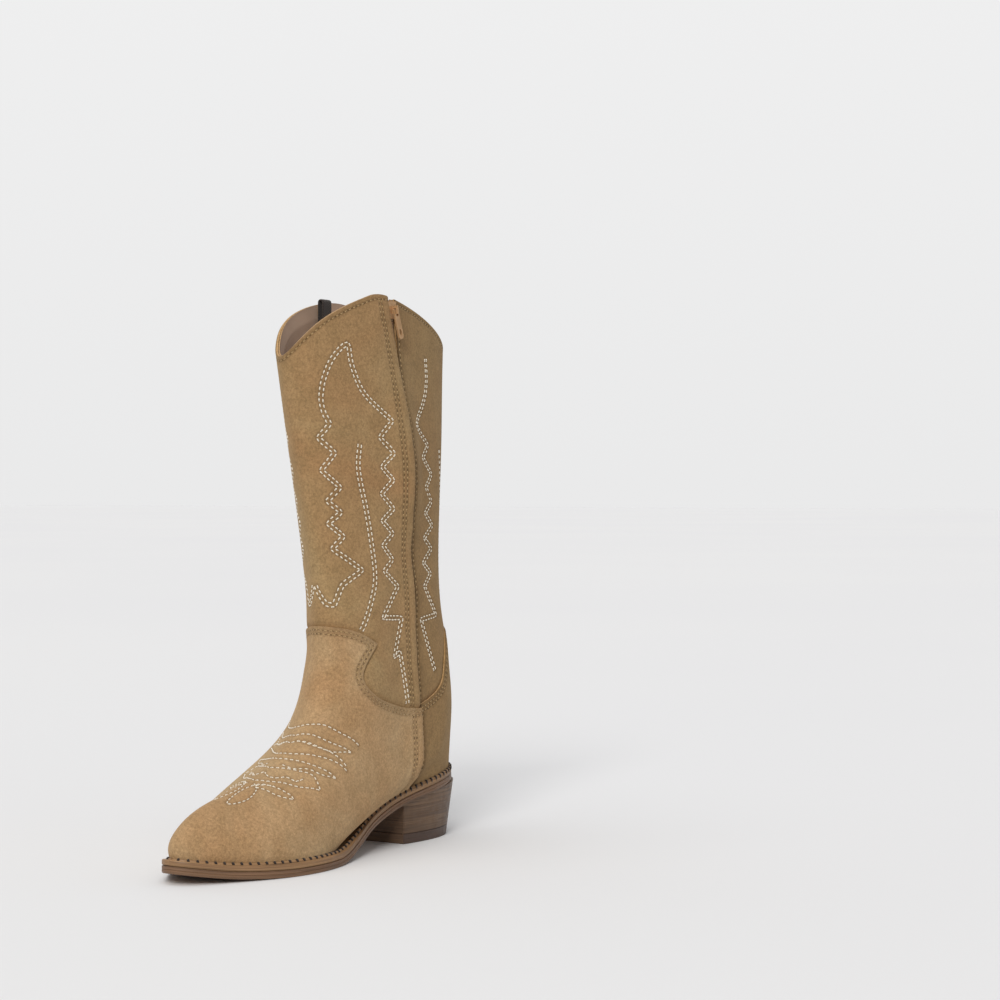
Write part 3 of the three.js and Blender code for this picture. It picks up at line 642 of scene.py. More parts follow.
def suede(name, tone, warm, shade, crease_shade):
    """Napped split leather: brushed patches, mottling, fibres, and painted shade along seams, cut edges and stitch
    grooves.
    """
    paint = Paint(name, 0.92, 0.18, sheen=0.22, sheen_tint="e8cfa6")
    patch = paint.spread(paint.noise(34, 3, 0.55, warp=0.6), 0.36, 0.66)
    mottle = paint.spread(paint.noise(6.5, 4, 0.65), 0.36, 0.68)
    fibre = paint.noise(0.55, 3, 0.7)
    color = paint.mix(patch, linear(tone), linear(warm))
    color = paint.mix(paint.maths("MULTIPLY", mottle, 0.42), color, linear(shade))
    speck = paint.spread(paint.noise(0.9, 4, 0.8), 0.36, 0.64, 0.8, 1.19)
    fleck = paint.maths("MULTIPLY", paint.spread(fibre, 0.3, 0.72, 0.86, 1.14), speck)
    grey = paint.add("ShaderNodeCombineColor", 0, {0: fleck, 1: fleck, 2: fleck})
    color = paint.mix(1.0, color, grey, "MULTIPLY")
    # Painted shade: the crease attribute pulls the colour towards crease_shade.
    color = paint.mix(paint.attribute("crease"), color, linear(crease_shade))
    pile = paint.bump(fibre, 0.2, 0.7)
    pile = paint.bump(paint.noise(2.2, 3, 0.6), 0.3, 0.45, pile)
    return paint.finish(color, pile)


def raw_edge(name, tone, shade):
    """The cut edge of a hide: fibrous and paler than its face."""
    paint = Paint(name, 0.95, 0.1, sheen=0.1)
    streak = paint.spread(paint.noise(0.7, 3, 0.7), 0.35, 0.7)
    return paint.finish(paint.mix(streak, linear(tone), linear(shade)), paint.bump(streak, 0.12, 0.5))


def smooth_leather(name, tone, shade):
    """Lining leather: fine pores over slow wrinkles."""
    paint = Paint(name, 0.62, 0.35)
    pore = paint.add("ShaderNodeTexVoronoi", 0, {"Vector": paint.place, "Scale": 1400.0})
    cloud = paint.spread(paint.noise(22, 3, 0.55), 0.35, 0.7)
    color = paint.mix(cloud, linear(tone), linear(shade))
    # Painted shade: darker near the lining's cut edges, from the crease attribute.
    color = paint.mix(paint.maths("MULTIPLY", paint.attribute("crease"), 0.6), color, linear("5a4636"))
    normal = paint.bump(pore, 0.05, 0.35)
    normal = paint.bump(paint.noise(9, 3, 0.5), 0.5, 0.35, normal)
    return paint.finish(color, normal)


def thread(name, tone, shade):
    """Twisted sewing thread: two plies wound round each other."""
    paint = Paint(name, 0.6, 0.3, sheen=0.15)
    along = paint.attribute("along")
    ply = paint.maths("SINE", along, 0.0)
    # Painted shading: each ply takes the full tone on its crest and the shade tone in the groove between plies.
    lit = paint.spread(ply, -1, 1)
    color = paint.mix(lit, linear(shade), linear(tone))
    return paint.finish(color, paint.bump(ply, 0.08, 0.6))


def layered_edge(name, tone, shade, dark):
    """The trimmed, waxed edge of sole leather, streaked along its run."""
    paint = Paint(name, 0.5, 0.4)
    run = paint.vector_attribute("run")
    fine = paint.add("ShaderNodeMapping", 0, {"Vector": run, "Scale": (22.0, 1500.0, 400.0)})
    wide = paint.add("ShaderNodeMapping", 0, {"Vector": run, "Scale": (9.0, 420.0, 200.0)})
    streak = paint.add("ShaderNodeTexNoise", 0, {"Vector": fine, "Scale": 1.0, "Detail": 4.0})
    band = paint.add("ShaderNodeTexNoise", 0, {"Vector": wide, "Scale": 1.0, "Detail": 3.0})
    color = paint.mix(paint.spread(band, 0.36, 0.66), linear(tone), linear(shade))
    color = paint.mix(paint.spread(streak, 0.46, 0.74, 0.0, 0.75), color, linear(dark))
    normal = paint.bump(streak, 0.12, 0.55)
    rough = paint.spread(paint.noise(3.0, 3, 0.6), 0.3, 0.7, 0.42, 0.62)
    return paint.finish(color, normal, rough)


def stacked_leather(name, tone, shade, dark):
    """Heel lifts seen edge-on: thin level laminations, dyed and waxed."""
    paint = Paint(name, 0.5, 0.4)
    grain = paint.stretched((30.0, 30.0, 1700.0))
    layer = paint.stretched((12.0, 12.0, 520.0))
    fine = paint.add("ShaderNodeTexNoise", 0, {"Vector": grain, "Scale": 1.0, "Detail": 4.0})
    wide = paint.add("ShaderNodeTexNoise", 0, {"Vector": layer, "Scale": 1.0, "Detail": 3.0})
    color = paint.mix(paint.spread(wide, 0.35, 0.68), linear(tone), linear(shade))
    color = paint.mix(paint.spread(fine, 0.5, 0.76, 0.0, 0.8), color, linear(dark))
    cloud = paint.spread(paint.noise(11, 3, 0.6), 0.4, 0.75, 0.0, 0.35)
    color = paint.mix(cloud, color, linear(dark))
    rough = paint.spread(paint.noise(2.0, 3, 0.6), 0.3, 0.7, 0.4, 0.6)
    return paint.finish(color, paint.bump(fine, 0.1, 0.5), rough)


def worn_tread(name, tone, shade):
    """The grain side of an outsole: buffed, with scuffs along the walk."""
    paint = Paint(name, 0.6, 0.35)
    scuff = paint.add("ShaderNodeTexNoise", 0, {
        "Vector": paint.stretched((700.0, 60.0, 60.0)), "Scale": 1.0, "Detail": 5.0})
    cloud = paint.spread(paint.noise(18, 4, 0.6), 0.35, 0.7)
    color = paint.mix(cloud, linear(tone), linear(shade))
    color = paint.mix(paint.spread(scuff, 0.5, 0.75, 0.0, 0.5), color, linear("4a3829"))
    return paint.finish(color, paint.bump(scuff, 0.06, 0.4))


def moulded_rubber(name, tone, shade):
    paint = Paint(name, 0.75, 0.3)
    speck = paint.spread(paint.noise(0.8, 3, 0.7), 0.35, 0.7)
    return paint.finish(paint.mix(speck, linear(tone), linear(shade)), paint.bump(speck, 0.05, 0.5))


def painted_metal(name, tone, shade, bare):
    """Die-cast metal under satin paint, worn to the metal on a few specks."""
    paint = Paint(name, 0.38, 0.5, metallic=0.35)
    cloud = paint.spread(paint.noise(2.5, 3, 0.6), 0.35, 0.7)
    chip = paint.spread(paint.noise(0.9, 4, 0.7), 0.68, 0.74)
    color = paint.mix(cloud, linear(tone), linear(shade))
    color = paint.mix(chip, color, linear(bare))
    rough = paint.spread(paint.noise(1.2, 3, 0.6), 0.3, 0.7, 0.3, 0.48)
    return paint.finish(color, paint.bump(cloud, 0.03, 0.4), rough)


def steel(name, tone, shade):
    paint = Paint(name, 0.35, 0.5, metallic=1.0)
    brushed = paint.add("ShaderNodeTexNoise", 0, {
        "Vector": paint.stretched((2600.0, 90.0, 2600.0)), "Scale": 1.0, "Detail": 3.0})
    color = paint.mix(brushed, linear(tone), linear(shade))
    return paint.finish(color, paint.bump(brushed, 0.02, 0.4))


def woven(name, tone, shade, pitch):
    """Plain-woven cloth or webbing, with threads at the given pitch in mm."""
    paint = Paint(name, 0.9, 0.2, sheen=0.2)
    turn = math.pi / (pitch * MM)
    parts = paint.tree.nodes.new("ShaderNodeSeparateXYZ")
    paint.put(parts.inputs[0], paint.place)
    warp = paint.maths("SINE", paint.maths("MULTIPLY", parts.outputs["Y"], turn), 0.0)
    weft = paint.maths("SINE", paint.maths("MULTIPLY", parts.outputs["Z"], turn), 0.0)
    cross = paint.maths("MULTIPLY", warp, weft)
    fuzz = paint.noise(0.6, 3, 0.7)
    # Painted shade of the weave: the cloth takes the shade tone where the threads dip and its full tone where they
    # ride over.
    share = paint.spread(paint.maths("ADD", cross, fuzz), -0.8, 1.7)
    return paint.finish(paint.mix(share, linear(shade), linear(tone)), paint.bump(cross, 0.12, 0.6))


def granular(name, tone, shade, size):
    """Cork or pressed fibre: small grains of several tones."""
    paint = Paint(name, 0.92, 0.15)
    grain = paint.add("ShaderNodeTexVoronoi", "Color", {"Vector": paint.place, "Scale": 1 / (size * MM)})
    value = paint.add("ShaderNodeSeparateColor", 0, {0: grain})
    return paint.finish(paint.mix(value, linear(tone), linear(shade)), paint.bump(value, 0.15, 0.5))


SUEDE_FOOT = suede("suede_foot", "b59a75", "a9855e", "8b704c", "5a4228")
SUEDE_SHAFT = suede("suede_shaft", "9f845d", "9a7751", "7e6441", "4a3620")
# The heel-side suede is the shaft suede made darker: partly its own deeper tone, partly painted shade for the side
# turned from the key light.
SUEDE_HEEL_SHADED = suede("suede_heel_side_shaded", "92764f", "8a6a45", "6e5535", "3f2c18")
RAW_EDGE = raw_edge("raw_edge", "c7a273", "9c7748")
FLESH = raw_edge("flesh_side", "a98c68", "8d714f")
LINING = smooth_leather("lining_leather", "c2a892", "ad917c")
WHITE_THREAD = thread("white_thread", "f4ecdd", "cbbfa8")
TAN_THREAD = thread("tan_thread", "bf9f6e", "8f7348")
DARK_THREAD = thread("dark_thread", "2c1b0f", "180e07")
# Painted shade: the dark colour of the needle-hole discs stands in for the shade inside each hole.
NEEDLE_HOLE_SHADE = raw_edge("needle_hole_shade", "35240f", "22160a")
WELT_EDGE = layered_edge("welt_leather", "a5815b", "876646", "523b27")
SOLE_EDGE = layered_edge("sole_edge", "84644a", "6a4f39", "3d2d20")
HEEL_STACK = stacked_leather("heel_stack", "745a42", "5c4532", "38291e")
TREAD = worn_tread("outsole_tread", "9a7857", "856446")
TOP_LIFT = stacked_leather("top_lift", "5b463a", "4e3c32", "372b24")
BREAST = stacked_leather("heel_breast", "7a614c", "654f3e", "433327")
LIFT_TREAD = moulded_rubber("top_lift_tread", "2d2520", "231c18")
ZIP_PAINT = painted_metal("zip_paint", "c39c72", "b18b62", "c9c2b4")
ZIP_CLOTH = woven("zip_cloth", "a48560", "7f6444", 0.7)
STRAP_CLOTH = woven("strap_cloth", "3a2f28", "1d1713", 0.9)
CORK = granular("cork", "b8935f", "8f6d40", 1.4)
FIBRE_BOARD = granular("fibre_board", "b59c77", "a0855f", 0.5)
STIFF_CLOTH = woven("stiffener_cloth", "a38b70", "86705a", 0.8)
STEEL = steel("shank_steel", "a2a5a8", "6f7275")


# ---- stitching ------------------------------------------------------------------------------------

STITCH_SIDES = 6


def stitch_shape(length, radius):
    """One thread lying on leather: it rises from its hole, runs flat, and dives again."""
    stations = ((-0.5, 0.45, -1.1), (-0.4, 0.85, 0.05), (-0.18, 1.0, 0.55), (0.18, 1.0, 0.55),
                (0.4, 0.85, 0.05), (0.5, 0.45, -1.1))
    rings = []
    for at, wide, rise in stations:
        for k in range(STITCH_SIDES):
            a = 2 * math.pi * k / STITCH_SIDES
            rings.append((at * length, math.cos(a) * wide * radius, (math.sin(a) * wide + rise) * radius))
    faces = []
    count = len(stations)
    for s in range(count - 1):
        for k in range(STITCH_SIDES):
            n = (k + 1) % STITCH_SIDES
            a, b = s * STITCH_SIDES, (s + 1) * STITCH_SIDES
            faces.append((a + k, b + k, b + n, a + n))
    faces.append(tuple(range(STITCH_SIDES)))
    faces.append(tuple(reversed(range((count - 1) * STITCH_SIDES, count * STITCH_SIDES))))
    return np.array(rings), faces


def hole_shape(radius):
    """A needle hole: a small dished disc just above the leather, coloured dark as painted shade for the hollow."""
    ring = [(math.cos(a) * radius, math.sin(a) * radius * 0.8, 0.05 * MM)
            for a in np.linspace(0, 2 * math.pi, 8, endpoint=False)]
    return np.array([(0, 0, -0.1 * MM), *ring]), [(0, k + 1, (k + 1) % 8 + 1) for k in range(8)]


def needle_spots(line, pitch):
    """Where the needle goes down: evenly along each run, and always at a corner."""
    reach = 3
    corners = [0]
    if len(line) > 4 * reach:
        come = line[reach:-reach] - line[:-2 * reach]
        go = line[2 * reach:] - line[reach:-reach]
        lengths = np.linalg.norm(come, axis=1) * np.linalg.norm(go, axis=1)
        bend = 1 - (come * go).sum(1) / np.maximum(lengths, 1e-12)
        for i in range(1, len(bend) - 1):
            if bend[i] > 0.18 and bend[i] >= bend[i - 1] and bend[i] > bend[i + 1]:
                if i + reach - corners[-1] > reach:
                    corners.append(i + reach)
    corners.append(len(line) - 1)
    runs = [even_points(line[a:b + 1], pitch) for a, b in zip(corners[:-1], corners[1:]) if b > a]
    return np.vstack((runs[0][:1], *[run[1:] for run in runs]))


def sew(name, rows, tree, material, pitch, share, radius, holes=0.0, sink=0.0):
    """Lays stitches along rows, on the surface of a panel, and joins them into one piece."""
    body, body_faces = stitch_shape(pitch * share * MM, radius * MM)
    dot, dot_faces = hole_shape(max(holes, 0.1) * MM)
    vertices, faces, indices, along = [], [], [], []
    total = 0
    for line in rows.lines:
        spots = needle_spots(line, pitch * MM)
        if len(spots) < 2:
            continue
        found = [tree.find_nearest(Vector(p)) for p in spots]
        base = np.array([f[0] for f in found])
        normal = np.array([f[1] for f in found])
        for kind, places, ups, tangents in (
                ("thread", (base[:-1] + base[1:]) / 2, normal[:-1] + normal[1:], np.diff(base, axis=0)),
                ("hole", base, normal, np.gradient(base, axis=0))):
            if kind == "hole" and not holes:
                continue
            shape, shape_faces = (body, body_faces) if kind == "thread" else (dot, dot_faces)
            t = tangents / np.maximum(np.linalg.norm(tangents, axis=1, keepdims=True), 1e-9)
            n = ups - t * (ups * t).sum(1, keepdims=True)
            n /= np.maximum(np.linalg.norm(n, axis=1, keepdims=True), 1e-9)
            b = np.cross(n, t)
            low = places - n * (sink * MM if kind == "thread" else 0)
            made = (low[:, None] + t[:, None] * shape[None, :, :1] + b[:, None] * shape[None, :, 1:2]
                    + n[:, None] * shape[None, :, 2:])
            for k in range(len(places)):
                faces += [tuple(v + total for v in f) for f in shape_faces]
                total += len(shape)
            vertices.append(made.reshape(-1, 3))
            indices += [0 if kind == "thread" else 1] * (len(places) * len(shape_faces))
            along.append(np.tile(shape[:, 0] / MM * 5.2 + shape[:, 1] / MM * 3, len(places)))
    piece = make_object(name, np.vstack(vertices), faces, [material, NEEDLE_HOLE_SHADE], indices, 0)
    add_values(piece, "along", np.concatenate(along))
    return piece


WHITE = dict(material=WHITE_THREAD, pitch=3.5, share=0.74, radius=0.47, sink=0.2)
BUG = dict(material=WHITE_THREAD, pitch=3.5, share=0.72, radius=0.4, sink=0.16)
TONAL = dict(material=TAN_THREAD, pitch=3.4, share=0.62, radius=0.34, holes=0.62, sink=0.16)

# Decoration on half a front panel: (distance from the zip towards the toe, height).
WING = (
    (73, 164), (68, 156), (63, 155.5), (57, 168), (41.5, 177), (61, 190.5), (52.5, 198), (62, 206),
    (52.5, 213), (61, 220), (51.5, 228.5), (63, 239), (53, 250), (63.5, 259), (55, 268),
    (58.5, 274), (60, 284), (57, 297), (50, 310), (40, 318),
    (38.5, 309), (36, 300), (31.5, 290), (24, 282), (8.5, 270.5),
    (19.5, 260), (8.5, 250), (19.5, 241.5), (10.5, 233), (21.5, 224.5), (11.5, 215), (22.5, 207.5),
    (13, 199.5), (23.5, 192), (14.5, 183), (24, 176), (10.5, 166), (28, 147), (8.5, 146),
    (18, 122), (12, 124.5), (7.5, 91),
)
TINE = ((35, 256), (37.5, 243), (37, 232), (34.5, 214), (33, 196), (32, 178), (33.5, 166), (40, 151), (47, 139))
# Decoration on half a back panel: (distance from the zip towards the heel, height).
BACK_WING = (
    (44, 313), (43.5, 297), (36, 283), (21.5, 269), (39, 256), (30, 248), (42, 237), (32, 228.5),
    (40, 219.5), (29, 212), (39.5, 204), (26, 196), (36, 189), (22.5, 180), (32.5, 173), (22, 165),
    (36, 146), (14.5, 144), (27, 110),
)
BACK_TINE = ((61, 254), (62, 230), (61, 205), (58, 178), (57, 160), (60, 146))
SOFT_SPANS = {"WING": (16, 26), "BACK_WING": (0, 4)}
ROW_APART = 2.5


def rounded_corners(points):
    """Points along straight runs, each corner turned over a short arc."""
    points = np.asarray(points, float)
    out = [points[0]]
    for a, b, c in zip(points[:-2], points[1:-1], points[2:]):
        reach = min(0.7, np.linalg.norm(b - a) / 3, np.linalg.norm(c - b) / 3)
        start = b + (a - b) / np.linalg.norm(a - b) * reach
        end = b + (c - b) / np.linalg.norm(c - b) * reach
        out += [start, (start + 2 * b + end) / 4, end]
    out.append(points[-1])
    return np.array(out)


def pattern(points, span):
    """One decorative line: zigzags with tight corners, and one softly curved span."""
    if span is None:
        return smooth_line(points, 40)
    first, last = span
    soft = smooth_line(points[first:last], 4 * (last - first)) if last - first > 2 else None
    joined = [*points[:first], *soft, *points[last:]] if soft is not None else points
    return rounded_corners(joined)


def on_front(line):
    """The same flat line on the inner half of a front panel and mirrored on the outer half."""
    line = even_points(line, 1.0)
    inner = [shaft_point(-d, z) for d, z in line]
    outer = []
    for d, z in line:
        outer.append(shaft_point(seam_run(z) + d, z))
    return [np.array(inner), np.array(outer)]


def on_back(line):
    line = even_points(line, 1.0)
    inner = [shaft_point(d, z) for d, z in line]
    outer = [shaft_point(seam_run(z) - d, z) for d, z in line]
    return [np.array(inner), np.array(outer)]


def doubled(line, to_surface):
    lines = []
    for side in (-0.5, 0.5):
        lines += to_surface(shifted(line, side * ROW_APART))
    return lines


def front_middle(z):
    """Distance from the zip, round the front, to the middle of the front panel, in mm."""
    girth = np.interp(z, LAP_HEIGHTS, LAP_RUN[:, -1])
    return (girth - seam_run(z)) / 2


def front_decoration():
    top = WING[0][1] + 4
    wing = pattern(((front_middle(top) - ROW_APART / 2, top), *WING), SOFT_SPANS["WING"])
    return Rows(doubled(wing, on_front) + doubled(pattern(TINE, None), on_front))


def back_decoration():
    wing = pattern(BACK_WING, SOFT_SPANS["BACK_WING"])
    return Rows(doubled(wing, on_back) + doubled(pattern(BACK_TINE, None), on_back))


# The toe's single-row pattern on one side of the crest: (distance from the crest, y).
CREST_X = 11.0
TOE_STROKES = (
    ((0, -114.5), (8, -112), (19, -102.5), (27, -90)),
    ((0, -119.5), (8, -116.5), (18, -109.5), (27, -97.5)),
    ((0, -124), (6, -121.5), (15, -116.5), (22, -110), (29, -105)),
    ((0, -131.5), (6, -130), (15, -122), (23, -113.5), (30, -106)),
    ((27, -97.5), (21.5, -110), (12, -119), (3, -122.5)),
    ((0, -136), (7, -133.5), (16, -127), (24, -121), (30, -116.5)),
    ((0, -144), (6, -141.5), (14, -135.5), (22, -129.5), (29.5, -131.5)),
    ((30, -116.5), (25, -124.5), (18, -129), (12, -136.5), (5, -139)),
    ((0, -158), (7, -154.5), (14, -148), (22, -142), (29.5, -131.5)),
    ((0, -148), (4, -151), (9, -149), (13, -143), (18, -141.5), (20, -136)),
    ((2, -161), (7, -164), (9.5, -172), (8.5, -181), (5, -189), (2.5, -181), (1.5, -170), (5, -160), (12, -155)),
    ((5, -164), (11, -160.5), (18, -157.5), (25, -150.5), (17, -152.5), (10, -156), (4, -163)),
)


def toe_rows(tree):
    """The toe pattern dropped onto the vamp from above, on both sides of the crest."""
    lines = []
    for stroke in TOE_STROKES:
        for side in (1, -1):
            line = even_points(smooth_line(stroke, 30), 1.0)
            spots = []
            for away, y in line:
                hit = tree.ray_cast(Vector(((CREST_X + side * away) * MM, y * MM, 0.2)), Vector((0, 0, -1)))
                if hit[0] is not None:
                    spots.append(hit[0])
            lines.append(np.array(spots))
    return Rows(lines)


# ---- the upper --------------------------------------------------------------------------------------

LEATHER = 1.8
LAP = 7.0  # how far the shaft runs on under the vamp and the counter
LAP_LIFT = 0.9  # the vamp and counter stand this far proud near their edges


def lap_lift(below_edge):
    """A lapped panel stands proud at its edge and settles into the skin lower down."""
    t = np.clip((below_edge - 6) / 26, 0, 1)
    return LAP_LIFT * (1 - t * t * (3 - 2 * t))


def past_zip(reach):
    """Region ahead of the zip on the inner side, and ahead of the seam on the outer side."""
    return np.where(MEDIAL, AHEAD + reach, AHEAD - 0.15)


def behind_zip(stands):
    return np.where(MEDIAL, -AHEAD - stands, -AHEAD - 0.15)


FRONT_REGION = np.minimum(past_zip(facing_reach(SIDE_Z)), LAP - BELOW_VAMP)
FRONT_REGION = np.minimum(FRONT_REGION, UNDER_RIM)
BACK_REGION = np.minimum(np.minimum(behind_zip(HEEL_STANDS), LAP - BELOW_COUNTER), UNDER_RIM)
VAMP_REGION = np.minimum(np.minimum(past_zip(facing_reach(SIDE_Z)), BELOW_VAMP), ABOVE_FEATHER + 1.5)
COUNTER_REGION = np.minimum(np.minimum(behind_zip(HEEL_STANDS - 0.8), BELOW_COUNTER), ABOVE_FEATHER + 1.5)

# The shaft dips under the lapped panels.
FRONT_LIFT = BULGE + RIPPLE - 1.1 * np.clip((BELOW_VAMP + 3) / 3, 0, 1)
BACK_LIFT = HEEL_BULGE + RIPPLE - 1.1 * np.clip((BELOW_COUNTER + 3) / 3, 0, 1)
VAMP_LIFT = BULGE + RIPPLE + lap_lift(BELOW_VAMP)
COUNTER_LIFT = HEEL_BULGE + RIPPLE + lap_lift(BELOW_COUNTER)


def edge_rows(region, keep, lift, distances):
    points, _ = surface_of(lift)
    lines = []
    for distance in distances:
        lines += [softened(line) for line in contour(region, distance, keep, points)]
    return lines


def front_seams():
    """Rows beside the facing's edge and one row under the rim."""
    beside = np.where(MEDIAL, AHEAD + facing_reach(SIDE_Z), 99)
    open_part = (BELOW_VAMP < -1) & (UNDER_RIM > 3)
    lines = edge_rows(beside, open_part & (AHEAD < 40), FRONT_LIFT, (7.2, 9.6))
    lines += edge_rows(np.where(MEDIAL, 99, AHEAD), open_part & (AHEAD < 40), FRONT_LIFT, (2.0,))
    ahead = FRONT_REGION > 1.5
    return Rows(lines + edge_rows(UNDER_RIM, ahead, FRONT_LIFT, (3,)))


def back_seams():
    behind = np.where(MEDIAL, -AHEAD - HEEL_STANDS, 99)
    open_part = (BELOW_COUNTER < -1) & (UNDER_RIM > 3)
    lines = edge_rows(behind, open_part & (AHEAD > -40), BACK_LIFT, (2.4,))
    lines += edge_rows(np.where(MEDIAL, 99, -AHEAD), open_part & (AHEAD > -40), BACK_LIFT, (2.0,))
    return Rows(lines + edge_rows(UNDER_RIM, BACK_REGION > 1.5, BACK_LIFT, (3,)))


def vamp_seams():
    inside = (VAMP_REGION > 1.2) & (ABOVE_FEATHER > 2)
    lines = edge_rows(BELOW_VAMP, inside, VAMP_LIFT, (2.3, 4.6))
    beside = np.where(MEDIAL, AHEAD + facing_reach(SIDE_Z), 99)
    beside_keep = inside & (BELOW_VAMP > 6) & (AHEAD < 40)
    lines += edge_rows(beside, beside_keep, VAMP_LIFT, (7.2, 9.6))
    seam = np.where(MEDIAL, 99, AHEAD)
    return Rows(lines + edge_rows(seam, inside & (BELOW_VAMP > 6) & (AHEAD < 40), VAMP_LIFT, (2.2, 4.4)))


def counter_seams():
    inside = (COUNTER_REGION > 1.2) & (ABOVE_FEATHER > 2)
    lines = edge_rows(BELOW_COUNTER, inside, COUNTER_LIFT, (2.3, 4.6))
    behind = np.where(MEDIAL, -AHEAD - HEEL_STANDS + 0.8, 99)
    return Rows(lines + edge_rows(behind, inside & (BELOW_COUNTER > 6) & (AHEAD > -40), COUNTER_LIFT, (2.6,)))


def panel(name, region, lift, face, grooves, nodes, slot, painted_shadow=None):
    made = Panel(name + "_hide", region, lift, LEATHER, [face, RAW_EDGE, FLESH], grooves, painted_shadow=painted_shadow)
    settle(made.piece, "boot", slot, *nodes)
    return made


def sewn(name, rows, made, style, slot):
    settle(sew(name, rows, made.tree, **style), "boot", slot)


def seam_groove(rows):
    """Rows, the depth and half width of the groove they pull, and how dark the painted shade in it is."""
    return rows, 0.32, 1.1, 0.5


def art_groove(rows):
    return rows, 0.38, 1.1, 0.42


def zip_flap_shadow():
    """Painted shadow: the heel-side leather is darkened beside the zip, where the facing's flap shades it."""
    behind = np.clip(-AHEAD - HEEL_STANDS, 0, 99)
    return np.where(MEDIAL, 0.75 * np.exp(-behind / 3.5), 0)


def build_upper():
    front_rows, front_art = front_seams(), front_decoration()
    front = panel("shaft_front", FRONT_REGION, FRONT_LIFT, SUEDE_SHAFT,
                  (seam_groove(front_rows), art_groove(front_art)), ["shaft_front"], "suede")
    sewn("shaft_front_seam_thread", front_rows, front, TONAL, "suede")
    sewn("shaft_front_decoration", front_art, front, WHITE, "suede")
    back_rows, back_art = back_seams(), back_decoration()
    back = panel("shaft_back", BACK_REGION, BACK_LIFT, SUEDE_HEEL_SHADED,
                 (seam_groove(back_rows), art_groove(back_art)), ["shaft_back"], "suede", zip_flap_shadow())
    sewn("shaft_back_seam_thread", back_rows, back, TONAL, "suede")
    sewn("shaft_back_decoration", back_art, back, WHITE, "suede")
    vamp_rows = vamp_seams()
    drawn = BVHTree.FromPolygons(*plain_skin(VAMP_LIFT))
    toe_art = toe_rows(drawn)
    vamp = panel("vamp", VAMP_REGION, VAMP_LIFT, SUEDE_FOOT,
                 (seam_groove(vamp_rows), art_groove(toe_art)), ["vamp"], "suede_vamp")
    sewn("vamp_seam_thread", vamp_rows, vamp, TONAL, "suede_vamp")
    sewn("toe_decoration", toe_art, vamp, BUG, "suede_vamp")
    counter_rows = counter_seams()
    counter = panel("counter", COUNTER_REGION, COUNTER_LIFT, SUEDE_HEEL_SHADED,
                    (seam_groove(counter_rows),), ["counter"], "suede", zip_flap_shadow())
    sewn("counter_seam_thread", counter_rows, counter, TONAL, "suede")


def plain_skin(lift):
    """A coarse copy of a lifted skin, as vertices and faces."""
    points, _ = surface_of(lift)
    coarse = points[::3, ::3]
    rows, columns = coarse.shape[:2]
    faces = []
    for j in range(rows - 1):
        for i in range(columns):
            k = (i + 1) % columns
            faces.append((j * columns + i, j * columns + k, (j + 1) * columns + k, (j + 1) * columns + i))
    return [tuple(v) for v in coarse.reshape(-1, 3)], faces


# ---- lining ----------------------------------------------------------------------------------------

LINING_TOP = 3.2
LINING_THICK = 1.0
LINING_SEAM = ((-300, 118), (-110, 118), (-30, 112), (120, 120))
ZIP_SLOT = 6.0


def build_lining():
    seam = np.interp(SIDE_Y, *np.array(LINING_SEAM, float).T)
    at_rim = np.clip(1 - UNDER_RIM / 9, 0, 1)
    depth = RIPPLE - LINING_TOP + (LINING_TOP - LEATHER - 0.05) * at_rim
    ahead = np.where(MEDIAL, AHEAD - ZIP_SLOT, AHEAD - 0.1)
    behind = np.where(MEDIAL, -AHEAD - ZIP_SLOT, -AHEAD - 0.1)
    above, below = SIDE_Z - seam, seam - SIDE_Z
    parts = (("shaft_lining_front", ahead, above), ("shaft_lining_back", behind, above),
             ("vamp_lining", ahead, below), ("heel_lining", behind, below))
    for name, side, part in parts:
        region = np.minimum(np.minimum(side, part), np.minimum(ABOVE_FEATHER, UNDER_RIM))
        made = Panel(name + "_skin", region, depth, LINING_THICK, [LINING, RAW_EDGE, LINING], (), 0.3)
        settle(made.piece, "boot", "lining", name)


# ---- swept edges: welt, rand, outsole ----------------------------------------------------------------

GAP = 0.3
WELT_THICK = 3.2
OUTSOLE_THICK = 4.5
SOLE_THICK = GAP + WELT_THICK + GAP + OUTSOLE_THICK
WELT_WIDE_TOE = 4.6
WELT_WIDE_HEEL = 1.8
HEEL_BREAST = -31.0
NOTCH_PITCH = 5.3


def outline_points(count):
    """The feather line in plan, evenly stepped, with its outward direction and its run."""
    ring = surface_points(np.linspace(0, RINGS_ROUND, 800, endpoint=False), [0.0])[0][:, :2] / MM
    ring = even_points(np.vstack((ring, ring[:1])), 1.0)
    total = np.linalg.norm(np.diff(ring, axis=0), axis=1).sum()
    ring = even_points(ring, total / count)[:count]
    along = np.roll(ring, -1, 0) - np.roll(ring, 1, 0)
    along /= np.linalg.norm(along, axis=1, keepdims=True)
    outward = np.stack((along[:, 1], -along[:, 0]), 1)
    return ring, outward, np.arange(count) * total / count, total


def welt_width(y):
    t = np.clip((y + 130) / 110, 0, 1)
    return WELT_WIDE_TOE + (WELT_WIDE_HEEL - WELT_WIDE_TOE) * t * t * (3 - 2 * t)


OUTLINE_COUNT = 1400
OUTLINE, OUTWARD, OUTLINE_RUN, OUTLINE_TOTAL = outline_points(OUTLINE_COUNT)


def under_foot(y):
    return np.maximum(feather_height(y), SOLE_THICK)


def swept_ring(out, up):
    """A ring of points out from the feather line and up from its height, both in mm."""
    plan = OUTLINE + OUTWARD * np.asarray(out).reshape(-1, 1)
    height = under_foot(plan[:, 1]) + up
    return np.column_stack((plan, height)) * MM


